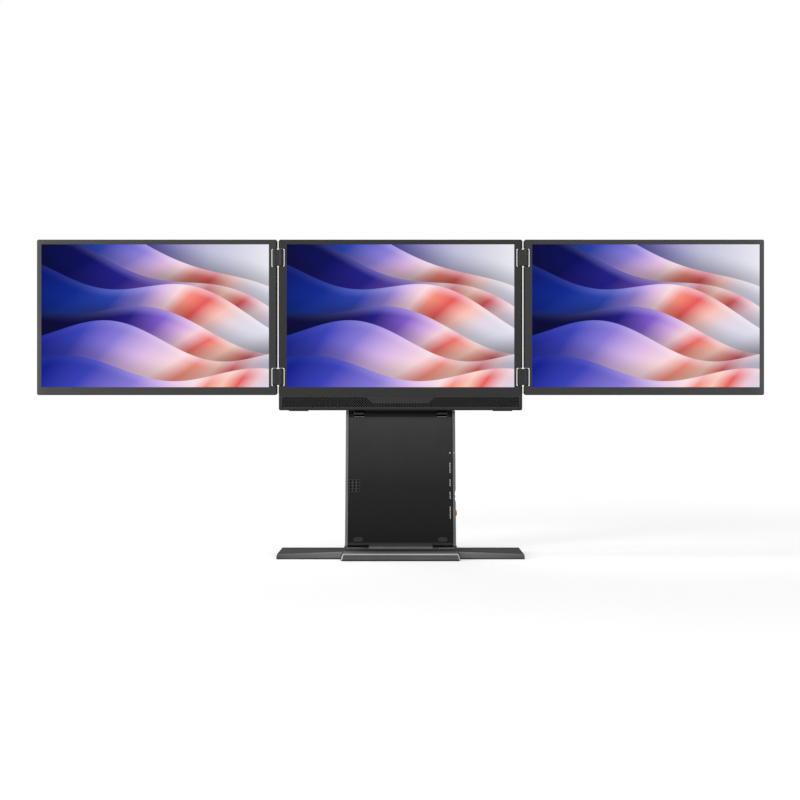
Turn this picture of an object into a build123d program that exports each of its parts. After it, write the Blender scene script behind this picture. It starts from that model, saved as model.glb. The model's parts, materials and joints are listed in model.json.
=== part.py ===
"""Three portable displays, side by side, on a hinged stand with a connection hub.

Millimetres. +X is the viewer's right, -Y faces the viewer, +Z is up. The origin lies on the
desk, under the middle of the base. The displays stand upright and in line, and the stand's
column leans back.
"""
from build123d import *
from math import cos, radians, sin, tan
import os

# ---- Display panels -------------------------------------------------------------------------
lit_width = 302.0
lit_height = 189.6
display_margin = 1.0
display_thickness = 1.2
backlight_thickness = 2.4
backlight_inset = 2.0

# ---- Display casings ------------------------------------------------------------------------
casing_thickness = 7.6
casing_corner = 2.7
casing_edge_round = 0.8
hinge_edge_round = 2.5
bezel_thickness = 1.0
casing_wall = 1.2
rim_wall = 2.0
hinge_border = 10.8
hinge_rail = 9.8
side_outer_border = 6.0
top_border = 6.4
side_bottom_border = 10.5
centre_bottom_border = 30.8
casing_gap = 2.2

# ---- Links between the casings --------------------------------------------------------------
link_axis_inset = 3.05
link_radius = 3.0
link_height = 21.6
link_inset = 24.0
notch_height = 24.0
notch_depth = 7.7
notch_chamfer = 1.0
link_pin_radius = 1.0
link_pin_tang = 1.8
link_pin_anchor = 6.0
pin_clearance = 0.05

# ---- Speaker bar of the centre display ------------------------------------------------------
grille_height = 15.6
grille_side_border = 3.2
grille_lip = 3.1
grille_fit = 0.15
grille_pitch = 7.8
grille_hole = 4.5
grille_rim = 0.5
badge_top_width = 91.6
badge_bottom_width = 71.6
badge_height = 10.9
speaker_size = (62.0, 12.6)
speaker_gap = 9.0
bumper_length = 26.0
bumper_depth = 4.0
bumper_height = 1.0
bumper_chamfer = 0.7
bumper_inset = 26.3

# ---- Driver boards --------------------------------------------------------------------------
board_thickness = 1.2
driver_board_width = 130.0
driver_board_height = 7.0
driver_board_rise = 2.6

# ---- Column ---------------------------------------------------------------------------------
column_lean = 12.1
column_width = 145.8
column_thickness = 16.0
column_face_offset = 0.75
column_length = 185.3
column_foot = 2.7
head_front_bevel = 2.6
head_flat = 2.1
head_slope = (3.8, 1.4)
head_shoulder = 5.3
column_side_wall = 3.5
column_rear_wall = 1.6
column_corner = 2.7
column_rear_round = 3.0
cavity_foot = 14.0
cavity_head = 13.0
panel_thickness = 1.6
panel_recess = 0.6
panel_groove = 1.0
panel_foot_gap = 1.4
panel_head_gap = 0.6
panel_corner = 1.5
panel_ledge = 0.8
panel_ledge_thickness = 1.2
post_width = 5.0
post_inset = 8.0
vent_hole = 2.6
vent_pitch = (5.0, 4.0)
vent_place = (-61.0, 82.6)
vent_columns = 3
vent_rows = 4
rest_pad_size = (13.7, 7.4)
rest_pad_height = 1.0
rest_pad_rise = 11.0

# ---- Base hinge -----------------------------------------------------------------------------
base_hinge_y = 18.2
base_hinge_z = 6.3
base_barrel_radius = 4.0
base_barrel_width = 82.4
base_pin_radius = 1.5
lug_width = 7.0
lug_gap = 0.4
notch_gap = 0.8
notch_rear_gap = 2.8
knuckle_depth = 6.0
knuckle_rise = 1.5
knuckle_gap = 0.2
column_back_range = 10.0

# ---- Upper hinge, in the column's own axes --------------------------------------------------
tilt_axis_depth = 5.9
tilt_barrel_radius = 4.3
tilt_rod_radius = 1.5
tilt_rod_width = 136.0
arm_width = 13.0
arm_offset = 55.4
arm_side_gap = 0.4
arm_plate_thickness = 2.0
arm_plate_height = 17.0
arm_plate_rise = 2.2
arm_neck_height = 7.6
arm_neck_grip = 0.87
arm_neck_angles = (29.0, 15.0)
arm_round_gap = 0.9
arm_slot_lip = 0.4
arm_reach = 10.8
arm_lift = 4.2

# ---- Hub in the column ----------------------------------------------------------------------
hub_board_front = 9.8
hub_board_size = (104.0, 50.0)
hub_board_rise = 105.0
hub_board_edge_gap = 0.8
standoff_width = 4.4
usb_opening = (8.3, 2.5)
usb_rise = 85.6
hdmi_opening = (10.6, 2.6)
hdmi_rise = 105.9
socket_wall = 0.45
socket_length = 7.5
socket_setback = 0.3
socket_fit = 0.2
contact_tongue = 0.7
tongue_side_gap = 1.4
tongue_setback = 1.0
tongue_root = 0.5
socket_floor = 1.0
light_radius = 0.8
light_rise = 126.5
light_length = 5.0
light_proud = 0.15
toggle_rise = 68.9
toggle_travel = 2.5
toggle_stem = (3.0, 2.2)
toggle_carriage = (12.0, 4.8, 1.5)
toggle_gap = 0.3
toggle_round = 0.7
scoop_length = 17.0
scoop_depth = 1.3
dial_radius = 8.0
dial_thickness = 3.6
dial_proud = 1.9
dial_rise = 46.9
dial_gap = 0.4
dial_groove = 0.5
dial_teeth = 20
dial_tooth_share = 0.55
dial_axle_radius = 1.0
dial_axle_proud = 0.5

# ---- Base -----------------------------------------------------------------------------------
wing_span = 311.6
wing_front_y = -66.5
wing_rear_y = 29.5
wing_height = 5.6
wing_edge_height = 2.1
crease_root_y = -31.5
crease_tip_y = -61.5
spine_width = 149.2
spine_rear_y = 88.5
spine_corner = 6.0
nose_front_y = -88.5
nose_rear_y = -39.0
nose_height = 9.0
nose_top_width = 143.9
nose_chamfer = 1.3
nose_wall = 2.2
skirt_height = 0.2
base_wall = 1.6
pad_height = 0.8
floor_thickness = 1.0
floor_inset = 2.2
floor_fit = 0.3
wing_front_wall = 6.4
wing_root_overlap = 10.0
hollow_edge = 0.5
wing_rib = 1.6
wing_ribs = 2
spine_rib_gap = 12.0
rest_strip_y = 3.0
rest_strip_depth = 12.0
rest_strip_width = 140.0
rest_strip_sink = 0.8
rest_strip_proud = 0.2
base_pad_size = (96.0, 130.0)
base_pad_corner = 5.0
foot_size = (22.0, 8.0)
foot_corner = 2.0
foot_place = (125.0, 34.0)
screw_radius = 1.2
screw_head_radius = 2.6
screw_head_height = 0.5
screw_bite = 2.0
screw_boss_width = 6.0
screw_place = (62.0, 74.0)
tab_width = 14.0
tab_reach = 1.0
tab_gap = 0.15
tab_x = 45.0

# ---- Places that follow from the sizes ------------------------------------------------------
lean = radians(column_lean)
tilt_axis_height = column_length - tilt_barrel_radius
tilt_axis_y = base_hinge_y + tilt_axis_depth * cos(lean) + tilt_axis_height * sin(lean)
tilt_axis_z = base_hinge_z - tilt_axis_depth * sin(lean) + tilt_axis_height * cos(lean)
display_back_y = tilt_axis_y - arm_reach
display_front_y = display_back_y - casing_thickness
side_width = side_outer_border + lit_width + hinge_border
side_height = top_border + lit_height + side_bottom_border
centre_width = lit_width + 2 * hinge_border
centre_height = top_border + lit_height + centre_bottom_border
centre_edge_x = centre_width / 2
centre_bottom_z = tilt_axis_z + arm_lift
display_top_z = centre_bottom_z + centre_height
side_bottom_z = display_top_z - side_height
side_edge_x = centre_edge_x + casing_gap
side_outer_x = side_edge_x + side_width
lit_top_z = display_top_z - top_border
lit_bottom_z = lit_top_z - lit_height
link_axis_y = display_front_y + casing_thickness / 2
link_rows = (side_bottom_z + link_inset, display_top_z - link_inset)
centre_axis_x = centre_edge_x - link_axis_inset
side_axis_x = side_edge_x + link_axis_inset
casing_floor_y = display_back_y - casing_wall
grille_bottom_z = centre_bottom_z + grille_lip
grille_width = centre_width - 2 * grille_side_border
column_half = column_width / 2
column_inner_half = column_half - column_side_wall
column_back = column_face_offset + column_thickness
cavity_back = column_back - column_rear_wall
panel_front = column_face_offset + panel_recess
panel_back = panel_front + panel_thickness
panel_half = column_inner_half - panel_groove
arm_slot_foot = tilt_axis_height - tilt_barrel_radius - arm_round_gap
pocket_head = arm_slot_foot + arm_slot_lip
panel_foot = column_foot + panel_foot_gap
panel_head = pocket_head - panel_head_gap
cavity_top = column_length - cavity_head
dial_x = column_half + dial_proud - dial_radius
side_axis_depth = column_face_offset + column_thickness / 2
floor_top_z = pad_height + floor_thickness
wing_tip_x = wing_span / 2
spine_half = spine_width / 2


# ---- Small helpers --------------------------------------------------------------------------
def block(x0, x1, y0, y1, z0, z1):
    """Box between two opposite corners."""
    centre = Pos((x0 + x1) / 2, (y0 + y1) / 2, (z0 + z1) / 2)
    return centre * Box(abs(x1 - x0), abs(y1 - y0), abs(z1 - z0))


def rod_x(radius, x0, x1, y, z):
    """Round bar along X."""
    return Pos((x0 + x1) / 2, y, z) * Rot(Y=90) * Cylinder(radius, abs(x1 - x0))


def rod_y(radius, x, y0, y1, z):
    """Round bar along Y."""
    return Pos(x, (y0 + y1) / 2, z) * Rot(X=90) * Cylinder(radius, abs(y1 - y0))


def rod_z(radius, x, y, z0, z1):
    """Round bar along Z."""
    return Pos(x, y, (z0 + z1) / 2) * Cylinder(radius, abs(z1 - z0))


def side_profile(points, x0, x1):
    """Prism along X from an outline of (y, z) points."""
    face = Plane.YZ * Polygon(*points, align=None)
    return Pos((x0 + x1) / 2, 0, 0) * extrude(face, amount=abs(x1 - x0) / 2, both=True)


def group(shapes):
    """Several separate solids kept as one sub-part."""
    solids = []
    for shape in shapes:
        solids.extend(shape.solids())
    return Compound(children=solids)


def on_column(shape):
    """Moves a shape from the column's own axes to where the leaning column stands."""
    return Pos(0, base_hinge_y, base_hinge_z) * Rot(X=-column_lean) * shape


# ---- Display casings ------------------------------------------------------------------------
def casing_slab(x0, x1, z0, z1, left_round, right_round):
    """Whole casing of one display, rounded in plan, front and side view."""
    width = x1 - x0
    height = z1 - z0
    centre = Pos((x0 + x1) / 2, link_axis_y, (z0 + z1) / 2)
    plan = Rectangle(width, casing_thickness)
    plan = fillet(plan.vertices().group_by(Axis.X)[0], left_round)
    plan = fillet(plan.vertices().group_by(Axis.X)[-1], right_round)
    upright = extrude(plan, amount=height / 2, both=True)
    front = Plane.XZ * RectangleRounded(width, height, casing_corner)
    through = extrude(front, amount=casing_thickness, both=True)
    side = Plane.YZ * RectangleRounded(casing_thickness, height, casing_edge_round)
    across = extrude(side, amount=width, both=True)
    return centre * (upright & through & across)


def link_notches(edge_x):
    """The openings for one column of links, cut in from a casing's hinge edge."""
    outline = Rectangle(2 * notch_depth, notch_height)
    outline = chamfer(outline.vertices(), notch_chamfer)
    cutter = extrude(Plane.XZ * outline, amount=casing_thickness, both=True)
    return [Pos(edge_x, link_axis_y, z) * cutter for z in link_rows]


def link_pins(axis_x):
    """Upright pins through the notches of one hinge edge."""
    half = notch_height / 2
    return [rod_z(link_pin_radius, axis_x, link_axis_y, z - half, z + half) for z in link_rows]


def link_tangs(axis_x):
    """Square ends of the pins of one hinge edge, which the casing holds."""
    half = link_pin_tang / 2
    near = notch_height / 2
    far = near + link_pin_anchor
    return [block(axis_x - half, axis_x + half, link_axis_y - half, link_axis_y + half,
                  z + end * near, z + end * far) for z in link_rows for end in (-1, 1)]


def lit_window(lit_left_x, margin, y0, y1):
    """Block over the lit area, wider by a margin on every side."""
    return block(lit_left_x - margin, lit_left_x + lit_width + margin, y0, y1,
                 lit_bottom_z - margin, lit_top_z + margin)


def screen_parts(x0, x1, z0, hinge_edges, lit_left_x):
    """Bezel, rear cover, display, backlight and pins of one display."""
    rounds = [hinge_edge_round if x in hinge_edges else casing_edge_round for x in (x0, x1)]
    walls = [hinge_rail if x in hinge_edges else rim_wall for x in (x0, x1)]
    slab = casing_slab(x0, x1, z0, display_top_z, *rounds)
    pins = []
    for edge_x in hinge_edges:
        inward = 1 if edge_x == x0 else -1
        axis_x = edge_x + inward * link_axis_inset
        tangs = link_tangs(axis_x)
        slab = slab - link_notches(edge_x) - tangs
        lower_tangs = tangs[0::2]
        upper_tangs = tangs[1::2]
        for pin, lower, upper in zip(link_pins(axis_x), lower_tangs, upper_tangs):
            pins.append(pin + lower + upper)
    split_y = display_front_y + bezel_thickness
    front_half = block(x0, x1, display_front_y, split_y, z0, display_top_z)
    window = lit_window(lit_left_x, 0, display_front_y - 1, split_y + 1)
    bezel = (slab & front_half) - window
    cavity = block(x0 + walls[0], x1 - walls[1], display_front_y, casing_floor_y,
                   z0 + rim_wall, display_top_z - rim_wall)
    rear_cover = (slab - front_half) - cavity
    display_back = split_y + display_thickness
    display = lit_window(lit_left_x, display_margin, split_y, display_back)
    backlight = lit_window(lit_left_x, -backlight_inset, display_back,
                           display_back + backlight_thickness)
    return {"bezel": bezel, "rear_cover": rear_cover, "display": display,
            "backlight": backlight, "link_pins": group(pins)}


def driver_board(middle_x, bottom_z):
    """Strip of circuit board on the inside of a rear cover."""
    foot_z = bottom_z + driver_board_rise
    return block(middle_x - driver_board_width / 2, middle_x + driver_board_width / 2,
                 casing_floor_y - board_thickness, casing_floor_y,
                 foot_z, foot_z + driver_board_height)


def side_screen(side):
    """One outer display: side is -1 on the left and 1 on the right."""
    x0 = min(side * side_edge_x, side * side_outer_x)
    x1 = max(side * side_edge_x, side * side_outer_x)
    lit_left_x = x0 + (side_outer_border if side < 0 else hinge_border)
    parts = screen_parts(x0, x1, side_bottom_z, [side * side_edge_x], lit_left_x)
    parts["driver_board"] = driver_board((x0 + x1) / 2, side_bottom_z)
    return parts


def double_links(side):
    """The two links of one side: stadium blocks that turn on a pin at each end."""
    x0 = side * centre_axis_x
    x1 = side * side_axis_x
    links = []
    for z in link_rows:
        z0 = z - link_height / 2
        z1 = z + link_height / 2
        link = rod_z(link_radius, x0, link_axis_y, z0, z1)
        link = link + rod_z(link_radius, x1, link_axis_y, z0, z1)
        link = link + block(x0, x1, link_axis_y - link_radius, link_axis_y + link_radius, z0, z1)
        hole = link_pin_radius + pin_clearance
        for axis_x in (x0, x1):
            link = link - rod_z(hole, axis_x, link_axis_y, z0 - 1, z1 + 1)
        links.append(link)
    return group(links)


# ---- Centre display -------------------------------------------------------------------------
def in_badge(x, z):
    """True where a grille hole would touch the bare trapezoid."""
    top_z = grille_bottom_z + grille_height
    foot_z = top_z - badge_height
    share = (z - foot_z) / badge_height
    half = (badge_bottom_width + share * (badge_top_width - badge_bottom_width)) / 2
    reach = grille_hole / 2 ** 0.5
    return z > foot_z - reach and abs(x) < half + reach


def speaker_grille():
    """Perforated strip: diamond holes in staggered rows round the bare trapezoid."""
    width = grille_width - 2 * grille_fit
    height = grille_height - 2 * grille_fit
    middle_z = grille_bottom_z + grille_height / 2
    reach = grille_hole / 2 ** 0.5
    columns = int((width / 2 - 2 * reach) / grille_pitch)
    rows = int((height / 2 - reach - grille_rim) / (grille_pitch / 2))
    holes = []
    for row in range(-rows, rows + 1):
        shift = grille_pitch / 2 * (row % 2)
        for column in range(-columns, columns + 1):
            x = column * grille_pitch + shift
            z = row * grille_pitch / 2
            if abs(x) < width / 2 - 2 * reach and not in_badge(x, z + middle_z):
                corners = [(x + reach, z), (x, z + reach), (x - reach, z), (x, z - reach)]
                holes.append(Wire.make_polygon([Vector(*corner) for corner in corners]))
    half = width / 2
    rise = height / 2
    rim = [Vector(-half, -rise), Vector(half, -rise), Vector(half, rise), Vector(-half, rise)]
    face = Plane.XZ * Face(Wire.make_polygon(rim), holes)
    strip = extrude(face, amount=bezel_thickness / 2, both=True)
    return Pos(0, display_front_y + bezel_thickness / 2, middle_z) * strip


def speakers():
    """Two flat speaker boxes behind the ends of the grille."""
    width, height = speaker_size
    middle_z = grille_bottom_z + grille_height / 2
    boxes = []
    for side in (-1, 1):
        middle_x = side * (centre_edge_x - hinge_rail - speaker_gap - width / 2)
        boxes.append(block(middle_x - width / 2, middle_x + width / 2,
                           display_front_y + bezel_thickness, casing_floor_y,
                           middle_z - height / 2, middle_z + height / 2))
    return group(boxes)


def bumpers():
    """Two low rubber strips under the centre casing."""
    strips = []
    for side in (-1, 1):
        middle_x = side * (centre_edge_x - bumper_inset)
        strip = block(middle_x - bumper_length / 2, middle_x + bumper_length / 2,
                      link_axis_y - bumper_depth / 2, link_axis_y + bumper_depth / 2,
                      centre_bottom_z - bumper_height, centre_bottom_z)
        lower = strip.edges().filter_by(Axis.Y).group_by(Axis.Z)[0]
        strips.append(chamfer(lower, bumper_chamfer))
    return group(strips)


def hinge_arms():
    """Two arms from the back of the centre casing to the rod at the column's head."""
    y, z = tilt_axis_y, tilt_axis_z
    plate_foot_z = centre_bottom_z + arm_plate_rise
    plate_back = display_back_y + arm_plate_thickness
    neck_top_z = plate_foot_z + arm_neck_height
    radius = tilt_barrel_radius
    grip = arm_neck_grip * radius
    low, high = (radians(angle) for angle in arm_neck_angles)
    neck = [(display_back_y, plate_foot_z), (y - grip * cos(low), z - grip * sin(low)),
            (y + grip * sin(high), z + grip * cos(high)), (plate_back, neck_top_z),
            (display_back_y, neck_top_z)]
    arms = []
    for side in (-1, 1):
        x0 = side * arm_offset - arm_width / 2
        x1 = side * arm_offset + arm_width / 2
        arm = side_profile(neck, x0, x1) + rod_x(radius, x0, x1, y, z)
        arm = arm + block(x0, x1, display_back_y, plate_back,
                          plate_foot_z, plate_foot_z + arm_plate_height)
        arm = arm - rod_x(tilt_rod_radius + pin_clearance, x0 - 1, x1 + 1, y, z)
        arms.append(arm)
    return group(arms)


def centre_screen():
    """Middle display with its speaker bar and the arms that carry it."""
    edges = [-centre_edge_x, centre_edge_x]
    parts = screen_parts(-centre_edge_x, centre_edge_x, centre_bottom_z, edges, -lit_width / 2)
    opening = block(-grille_width / 2, grille_width / 2, display_front_y - 1,
                    display_front_y + bezel_thickness + 1,
                    grille_bottom_z, grille_bottom_z + grille_height)
    parts["bezel"] = parts["bezel"] - opening
    parts["speaker_grille"] = speaker_grille()
    parts["speakers"] = speakers()
    parts["bumpers"] = bumpers()
    parts["driver_board"] = driver_board(0, grille_bottom_z + grille_height)
    parts["hinge_arms"] = hinge_arms()
    return parts


# ---- Column, in its own axes: y is depth from the base hinge, z runs along the column -------
def arm_slots():
    """Openings at the column's head that the hinge arms turn in."""
    half = arm_width / 2 + arm_side_gap
    slots = []
    for side in (-1, 1):
        middle_x = side * arm_offset
        slots.append(block(middle_x - half, middle_x + half, -column_back, 2 * column_back,
                           arm_slot_foot, 2 * column_length))
    return slots


def column_outline():
    """Side view of the column: bevelled foot, rounded head."""
    bevel = column_thickness * tan(radians(column_lean + column_back_range))
    head = column_length
    front = column_face_offset
    slope_run, slope_drop = head_slope
    return [(front, column_foot), (front, head - head_front_bevel),
            (front + head_front_bevel, head), (tilt_axis_depth + head_flat, head),
            (column_back - slope_run, head - slope_drop),
            (column_back, head - head_shoulder), (column_back, column_foot + bevel)]


def knuckle():
    """Barrel of the base hinge, with the web that joins it to the column's foot."""
    half = base_barrel_width / 2
    top = panel_foot - knuckle_gap
    web = [(0, 0), (base_barrel_radius, 0), (knuckle_depth, knuckle_rise),
           (knuckle_depth, top), (0, top)]
    return rod_x(base_barrel_radius, -half, half, 0, 0) + side_profile(web, -half, half)


def column_posts(depth_front, places, width):
    """Square posts on the inside of the column's rear wall."""
    half = width / 2
    return [block(x - half, x + half, depth_front, cavity_back, z - half, z + half)
            for x, z in places]


def panel_posts():
    """Places of the posts that the front panel is fixed to."""
    x = panel_half - post_inset
    heights = (cavity_foot + post_inset, cavity_top - post_inset)
    return [(side * x, z) for side in (-1, 1) for z in heights]


def board_corners():
    """Places of the posts under the hub board."""
    width, height = hub_board_size
    right = column_inner_half - hub_board_edge_gap
    inset = standoff_width
    xs = (right - inset, right - width + inset)
    zs = (hub_board_rise - height / 2 + inset, hub_board_rise + height / 2 - inset)
    return [(x, z) for x in xs for z in zs]


def socket_block(opening, rise, grow, x0, x1):
    """Block round the opening of a socket on the board; grow widens it on every side."""
    width, height = opening
    back = hub_board_front - socket_wall
    return block(x0, x1, back - height - grow, back + grow,
                 rise - width / 2 - grow, rise + width / 2 + grow)


def side_controls_cutters():
    """Openings in the column's right wall: scoop and slot of the toggle, slot of the dial."""
    scoop_radius = (scoop_length ** 2 / 4 + scoop_depth ** 2) / (2 * scoop_depth)
    scoop_x = column_half - scoop_depth + scoop_radius
    scoop = rod_y(scoop_radius, scoop_x, column_face_offset - 1, column_back + 1, toggle_rise)
    stem_long, stem_wide = toggle_stem
    half_long = stem_long / 2 + toggle_travel + toggle_gap
    half_wide = stem_wide / 2 + toggle_gap
    slot = block(column_inner_half - 1, column_half + 1, side_axis_depth - half_wide,
                 side_axis_depth + half_wide, toggle_rise - half_long, toggle_rise + half_long)
    half_dial = dial_thickness / 2 + dial_gap
    dial_slot = rod_y(dial_radius + dial_gap, dial_x, side_axis_depth - half_dial,
                      side_axis_depth + half_dial, dial_rise)
    return [scoop, slot, dial_slot]


def column_shell():
    """Cast tray with light side rims, open to the front, with both hinge barrels."""
    outline = column_outline()
    solid = side_profile(outline, -column_half, column_half)
    front = Plane.XZ * RectangleRounded(column_width, 2 * column_length, column_corner)
    solid = solid & extrude(front, amount=3 * column_back, both=True)
    plan = Rectangle(column_width, 2 * column_back)
    plan = fillet(plan.vertices().group_by(Axis.Y)[-1], column_rear_round)
    solid = solid & extrude(plan, amount=column_length + 5)
    half = column_inner_half
    mouth = panel_half - panel_ledge
    ledge_back = panel_back + panel_ledge_thickness
    pocket = block(-half, half, -1, panel_back, 0, pocket_head)
    opening = block(-mouth, mouth, 0, cavity_back, cavity_foot, cavity_top)
    cavity = block(-half, half, ledge_back, cavity_back, cavity_foot, cavity_top)
    head_cut = block(-half, half, -1, tilt_axis_depth, pocket_head, column_length + 1)
    solid = solid - pocket - opening - cavity - head_cut
    solid = solid + rod_x(tilt_barrel_radius, -half, half, tilt_axis_depth, tilt_axis_height)
    solid = solid - arm_slots()
    solid = solid - rod_x(tilt_rod_radius, -tilt_rod_width / 2, tilt_rod_width / 2,
                          tilt_axis_depth, tilt_axis_height)
    solid = solid + column_posts(panel_back, panel_posts(), post_width)
    board_back = hub_board_front + board_thickness
    solid = solid + column_posts(board_back, board_corners(), standoff_width)
    solid = solid + knuckle()
    knuckle_half = base_barrel_width / 2
    solid = solid - rod_x(base_pin_radius + pin_clearance, -knuckle_half - 1, knuckle_half + 1,
                          0, 0)
    lug_half = knuckle_half + 2 * lug_gap + lug_width
    for side in (-1, 1):
        solid = solid - rod_x(base_barrel_radius + lug_gap, side * knuckle_half, side * lug_half,
                              0, 0)
    solid = solid - side_controls_cutters()
    for opening, rise in ((usb_opening, usb_rise), (hdmi_opening, hdmi_rise)):
        grow = socket_wall + socket_fit
        solid = solid - socket_block(opening, rise, grow, half - 1, column_half + 1)
    light_x = column_half - column_side_wall / 2
    solid = solid - rod_y(light_radius, light_x, 0, column_face_offset + light_length, light_rise)
    return on_column(solid)


def column_panel():
    """Black front panel of the column, with the vent."""
    panel = block(-panel_half, panel_half, panel_front, panel_back, panel_foot, panel_head)
    panel = fillet(panel.edges().filter_by(Axis.Y), panel_corner)
    vent_x, vent_z = vent_place
    pitch_x, pitch_z = vent_pitch
    for column in range(vent_columns):
        for row in range(vent_rows):
            x = vent_x + (column - (vent_columns - 1) / 2) * pitch_x
            z = vent_z + (row - (vent_rows - 1) / 2) * pitch_z
            panel = panel - block(x - vent_hole / 2, x + vent_hole / 2, panel_front - 1,
                                  panel_back + 1, z - vent_hole / 2, z + vent_hole / 2)
    return on_column(panel)


def rest_pads():
    """Two rubber pads low on the column, which meet the base when the column folds forward."""
    width, height = rest_pad_size
    pads = []
    for side in (-1, 1):
        x = side * arm_offset
        pads.append(block(x - width / 2, x + width / 2, panel_front - rest_pad_height,
                          panel_front, rest_pad_rise - height / 2,
                          rest_pad_rise + height / 2))
    return on_column(group(pads))


def hub_board():
    """Circuit board of the hub, on posts behind the ports."""
    width, height = hub_board_size
    right = column_inner_half - hub_board_edge_gap
    back = hub_board_front + board_thickness
    return on_column(block(right - width, right, hub_board_front, back,
                           hub_board_rise - height / 2, hub_board_rise + height / 2))


def socket(opening, rise):
    """One port: a thin metal shell with a contact tongue, open to the right."""
    outer_x = column_half - socket_setback
    inner_x = outer_x - socket_length
    shell = socket_block(opening, rise, socket_wall, inner_x, outer_x)
    hollow = socket_block(opening, rise, 0, inner_x + socket_floor, outer_x + 1)
    width, height = opening
    middle = hub_board_front - socket_wall - height / 2
    half_tongue = width / 2 - tongue_side_gap
    tongue = block(inner_x + tongue_root, outer_x - tongue_setback,
                   middle - contact_tongue / 2, middle + contact_tongue / 2,
                   rise - half_tongue, rise + half_tongue)
    return on_column((shell - hollow) + tongue)


def status_light():
    """Light pipe in the right rim."""
    x = column_half - column_side_wall / 2
    front = column_face_offset - light_proud
    back = column_face_offset + light_length
    return on_column(rod_y(light_radius, x, front, back, light_rise))


def menu_toggle():
    """Sliding three-way key in the right wall."""
    stem_long, stem_wide = toggle_stem
    long, wide, thick = toggle_carriage
    inner = column_inner_half - pin_clearance
    stem = block(inner - thick / 2, column_half - toggle_gap, side_axis_depth - stem_wide / 2,
                 side_axis_depth + stem_wide / 2, toggle_rise - stem_long / 2,
                 toggle_rise + stem_long / 2)
    outer_edges = stem.edges().filter_by(Axis.Y).group_by(Axis.X)[-1]
    stem = fillet(outer_edges, toggle_round)
    carriage = block(inner - thick, inner, side_axis_depth - wide / 2,
                     side_axis_depth + wide / 2, toggle_rise - long / 2, toggle_rise + long / 2)
    return on_column(stem + carriage)


def dial_wheel():
    """Thumb wheel with a grooved rim."""
    half = dial_thickness / 2
    corners = []
    for tooth in range(dial_teeth):
        for share, radius in ((0, dial_radius), (dial_tooth_share, dial_radius),
                              ((1 + dial_tooth_share) / 2, dial_radius - dial_groove)):
            angle = radians(360 * (tooth + share) / dial_teeth)
            corners.append((radius * cos(angle), radius * sin(angle)))
    outline = Plane.XZ * Polygon(*corners, align=None)
    wheel = extrude(outline, amount=half, both=True)
    wheel = wheel - rod_y(dial_axle_radius + pin_clearance, 0, -half - 1, half + 1, 0)
    wheel = Pos(dial_x, side_axis_depth, dial_rise) * wheel
    return on_column(wheel)


def dial_axle():
    """Pin on the rear wall of the column that the wheel turns on."""
    half = dial_thickness / 2
    front = side_axis_depth - half - dial_axle_proud
    return on_column(rod_y(dial_axle_radius, dial_x, front, cavity_back, dial_rise))


def tilt_rod():
    """Steel rod of the upper hinge."""
    return on_column(rod_x(tilt_rod_radius, -tilt_rod_width / 2, tilt_rod_width / 2,
                           tilt_axis_depth, tilt_axis_height))


# ---- Base -----------------------------------------------------------------------------------
def hinge_notch():
    """Opening in the base plate that the column's barrel and the lugs stand in."""
    half_x = base_barrel_width / 2 + lug_gap + lug_width + lug_gap
    front = base_hinge_y - base_barrel_radius - notch_gap
    rear = base_hinge_y + base_barrel_radius + notch_rear_gap
    return block(-half_x, half_x, front, rear, skirt_height, nose_height)


def wing(side, inset, front_inset):
    """One wing of the base, from inside the spine to its tip; the insets give its hollow."""
    root_x = side * (spine_half - wing_root_overlap)
    tip_x = side * (wing_tip_x - inset)
    top = wing_height - inset
    front = wing_front_y + front_inset
    rear = wing_rear_y - inset
    foot = skirt_height
    edge = wing_edge_height
    span = wing_tip_x - spine_half
    overlap = (crease_root_y - crease_tip_y) * wing_root_overlap / span
    sections = []
    for x, crease in ((root_x, crease_root_y + overlap), (tip_x, crease_tip_y)):
        crease_y = max(crease + inset, front + hollow_edge)
        points = [(front, foot), (front, edge), (crease_y, top), (rear, top), (rear, foot)]
        face = Plane.YZ * Polygon(*points, align=None)
        sections.append(Pos(x, 0, 0) * face)
    return loft(sections, ruled=True)


def base_plate():
    """Die-cast plate: two wings, spine and rear foot, hollow and ribbed below."""
    front = nose_front_y + nose_wall
    middle_y = (front + spine_rear_y) / 2
    length = spine_rear_y - front
    outline = Pos(0, middle_y, skirt_height) * Rectangle(spine_width, length)
    outline = fillet(outline.vertices().group_by(Axis.Y)[-1], spine_corner)
    plate = extrude(outline, amount=wing_height - skirt_height)
    plate = plate + wing(-1, 0, 0) + wing(1, 0, 0)
    floor_pocket = base_outline(floor_inset - floor_fit, 0, floor_top_z)
    plate = plate - floor_pocket
    for side in (-1, 1):
        plate = plate - wing(side, base_wall, wing_front_wall)
    plate = plate - block(-spine_half + floor_inset, spine_half - floor_inset,
                          front + 2 * base_wall, spine_rear_y - 2 * base_wall,
                          skirt_height, wing_height - base_wall)
    plate = plate + base_ribs() + screw_bosses()
    for x, y in screw_places():
        plate = plate - rod_z(screw_radius, x, y, 0, wing_height - base_wall)
    strip_floor = wing_height - rest_strip_sink
    strip = rest_strip_block(strip_floor, nose_height)
    plate = plate - strip - floor_tabs(tab_gap)
    return plate - hinge_notch()


def base_outline(inset, z0, z1):
    """Plan of wings and spine together, drawn in by an inset."""
    wings = block(-wing_tip_x + inset, wing_tip_x - inset, wing_front_y + inset,
                  wing_rear_y - inset, z0, z1)
    spine = block(-spine_half + inset, spine_half - inset, nose_front_y + nose_wall + inset,
                  spine_rear_y - inset, z0, z1)
    return wings + spine


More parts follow.
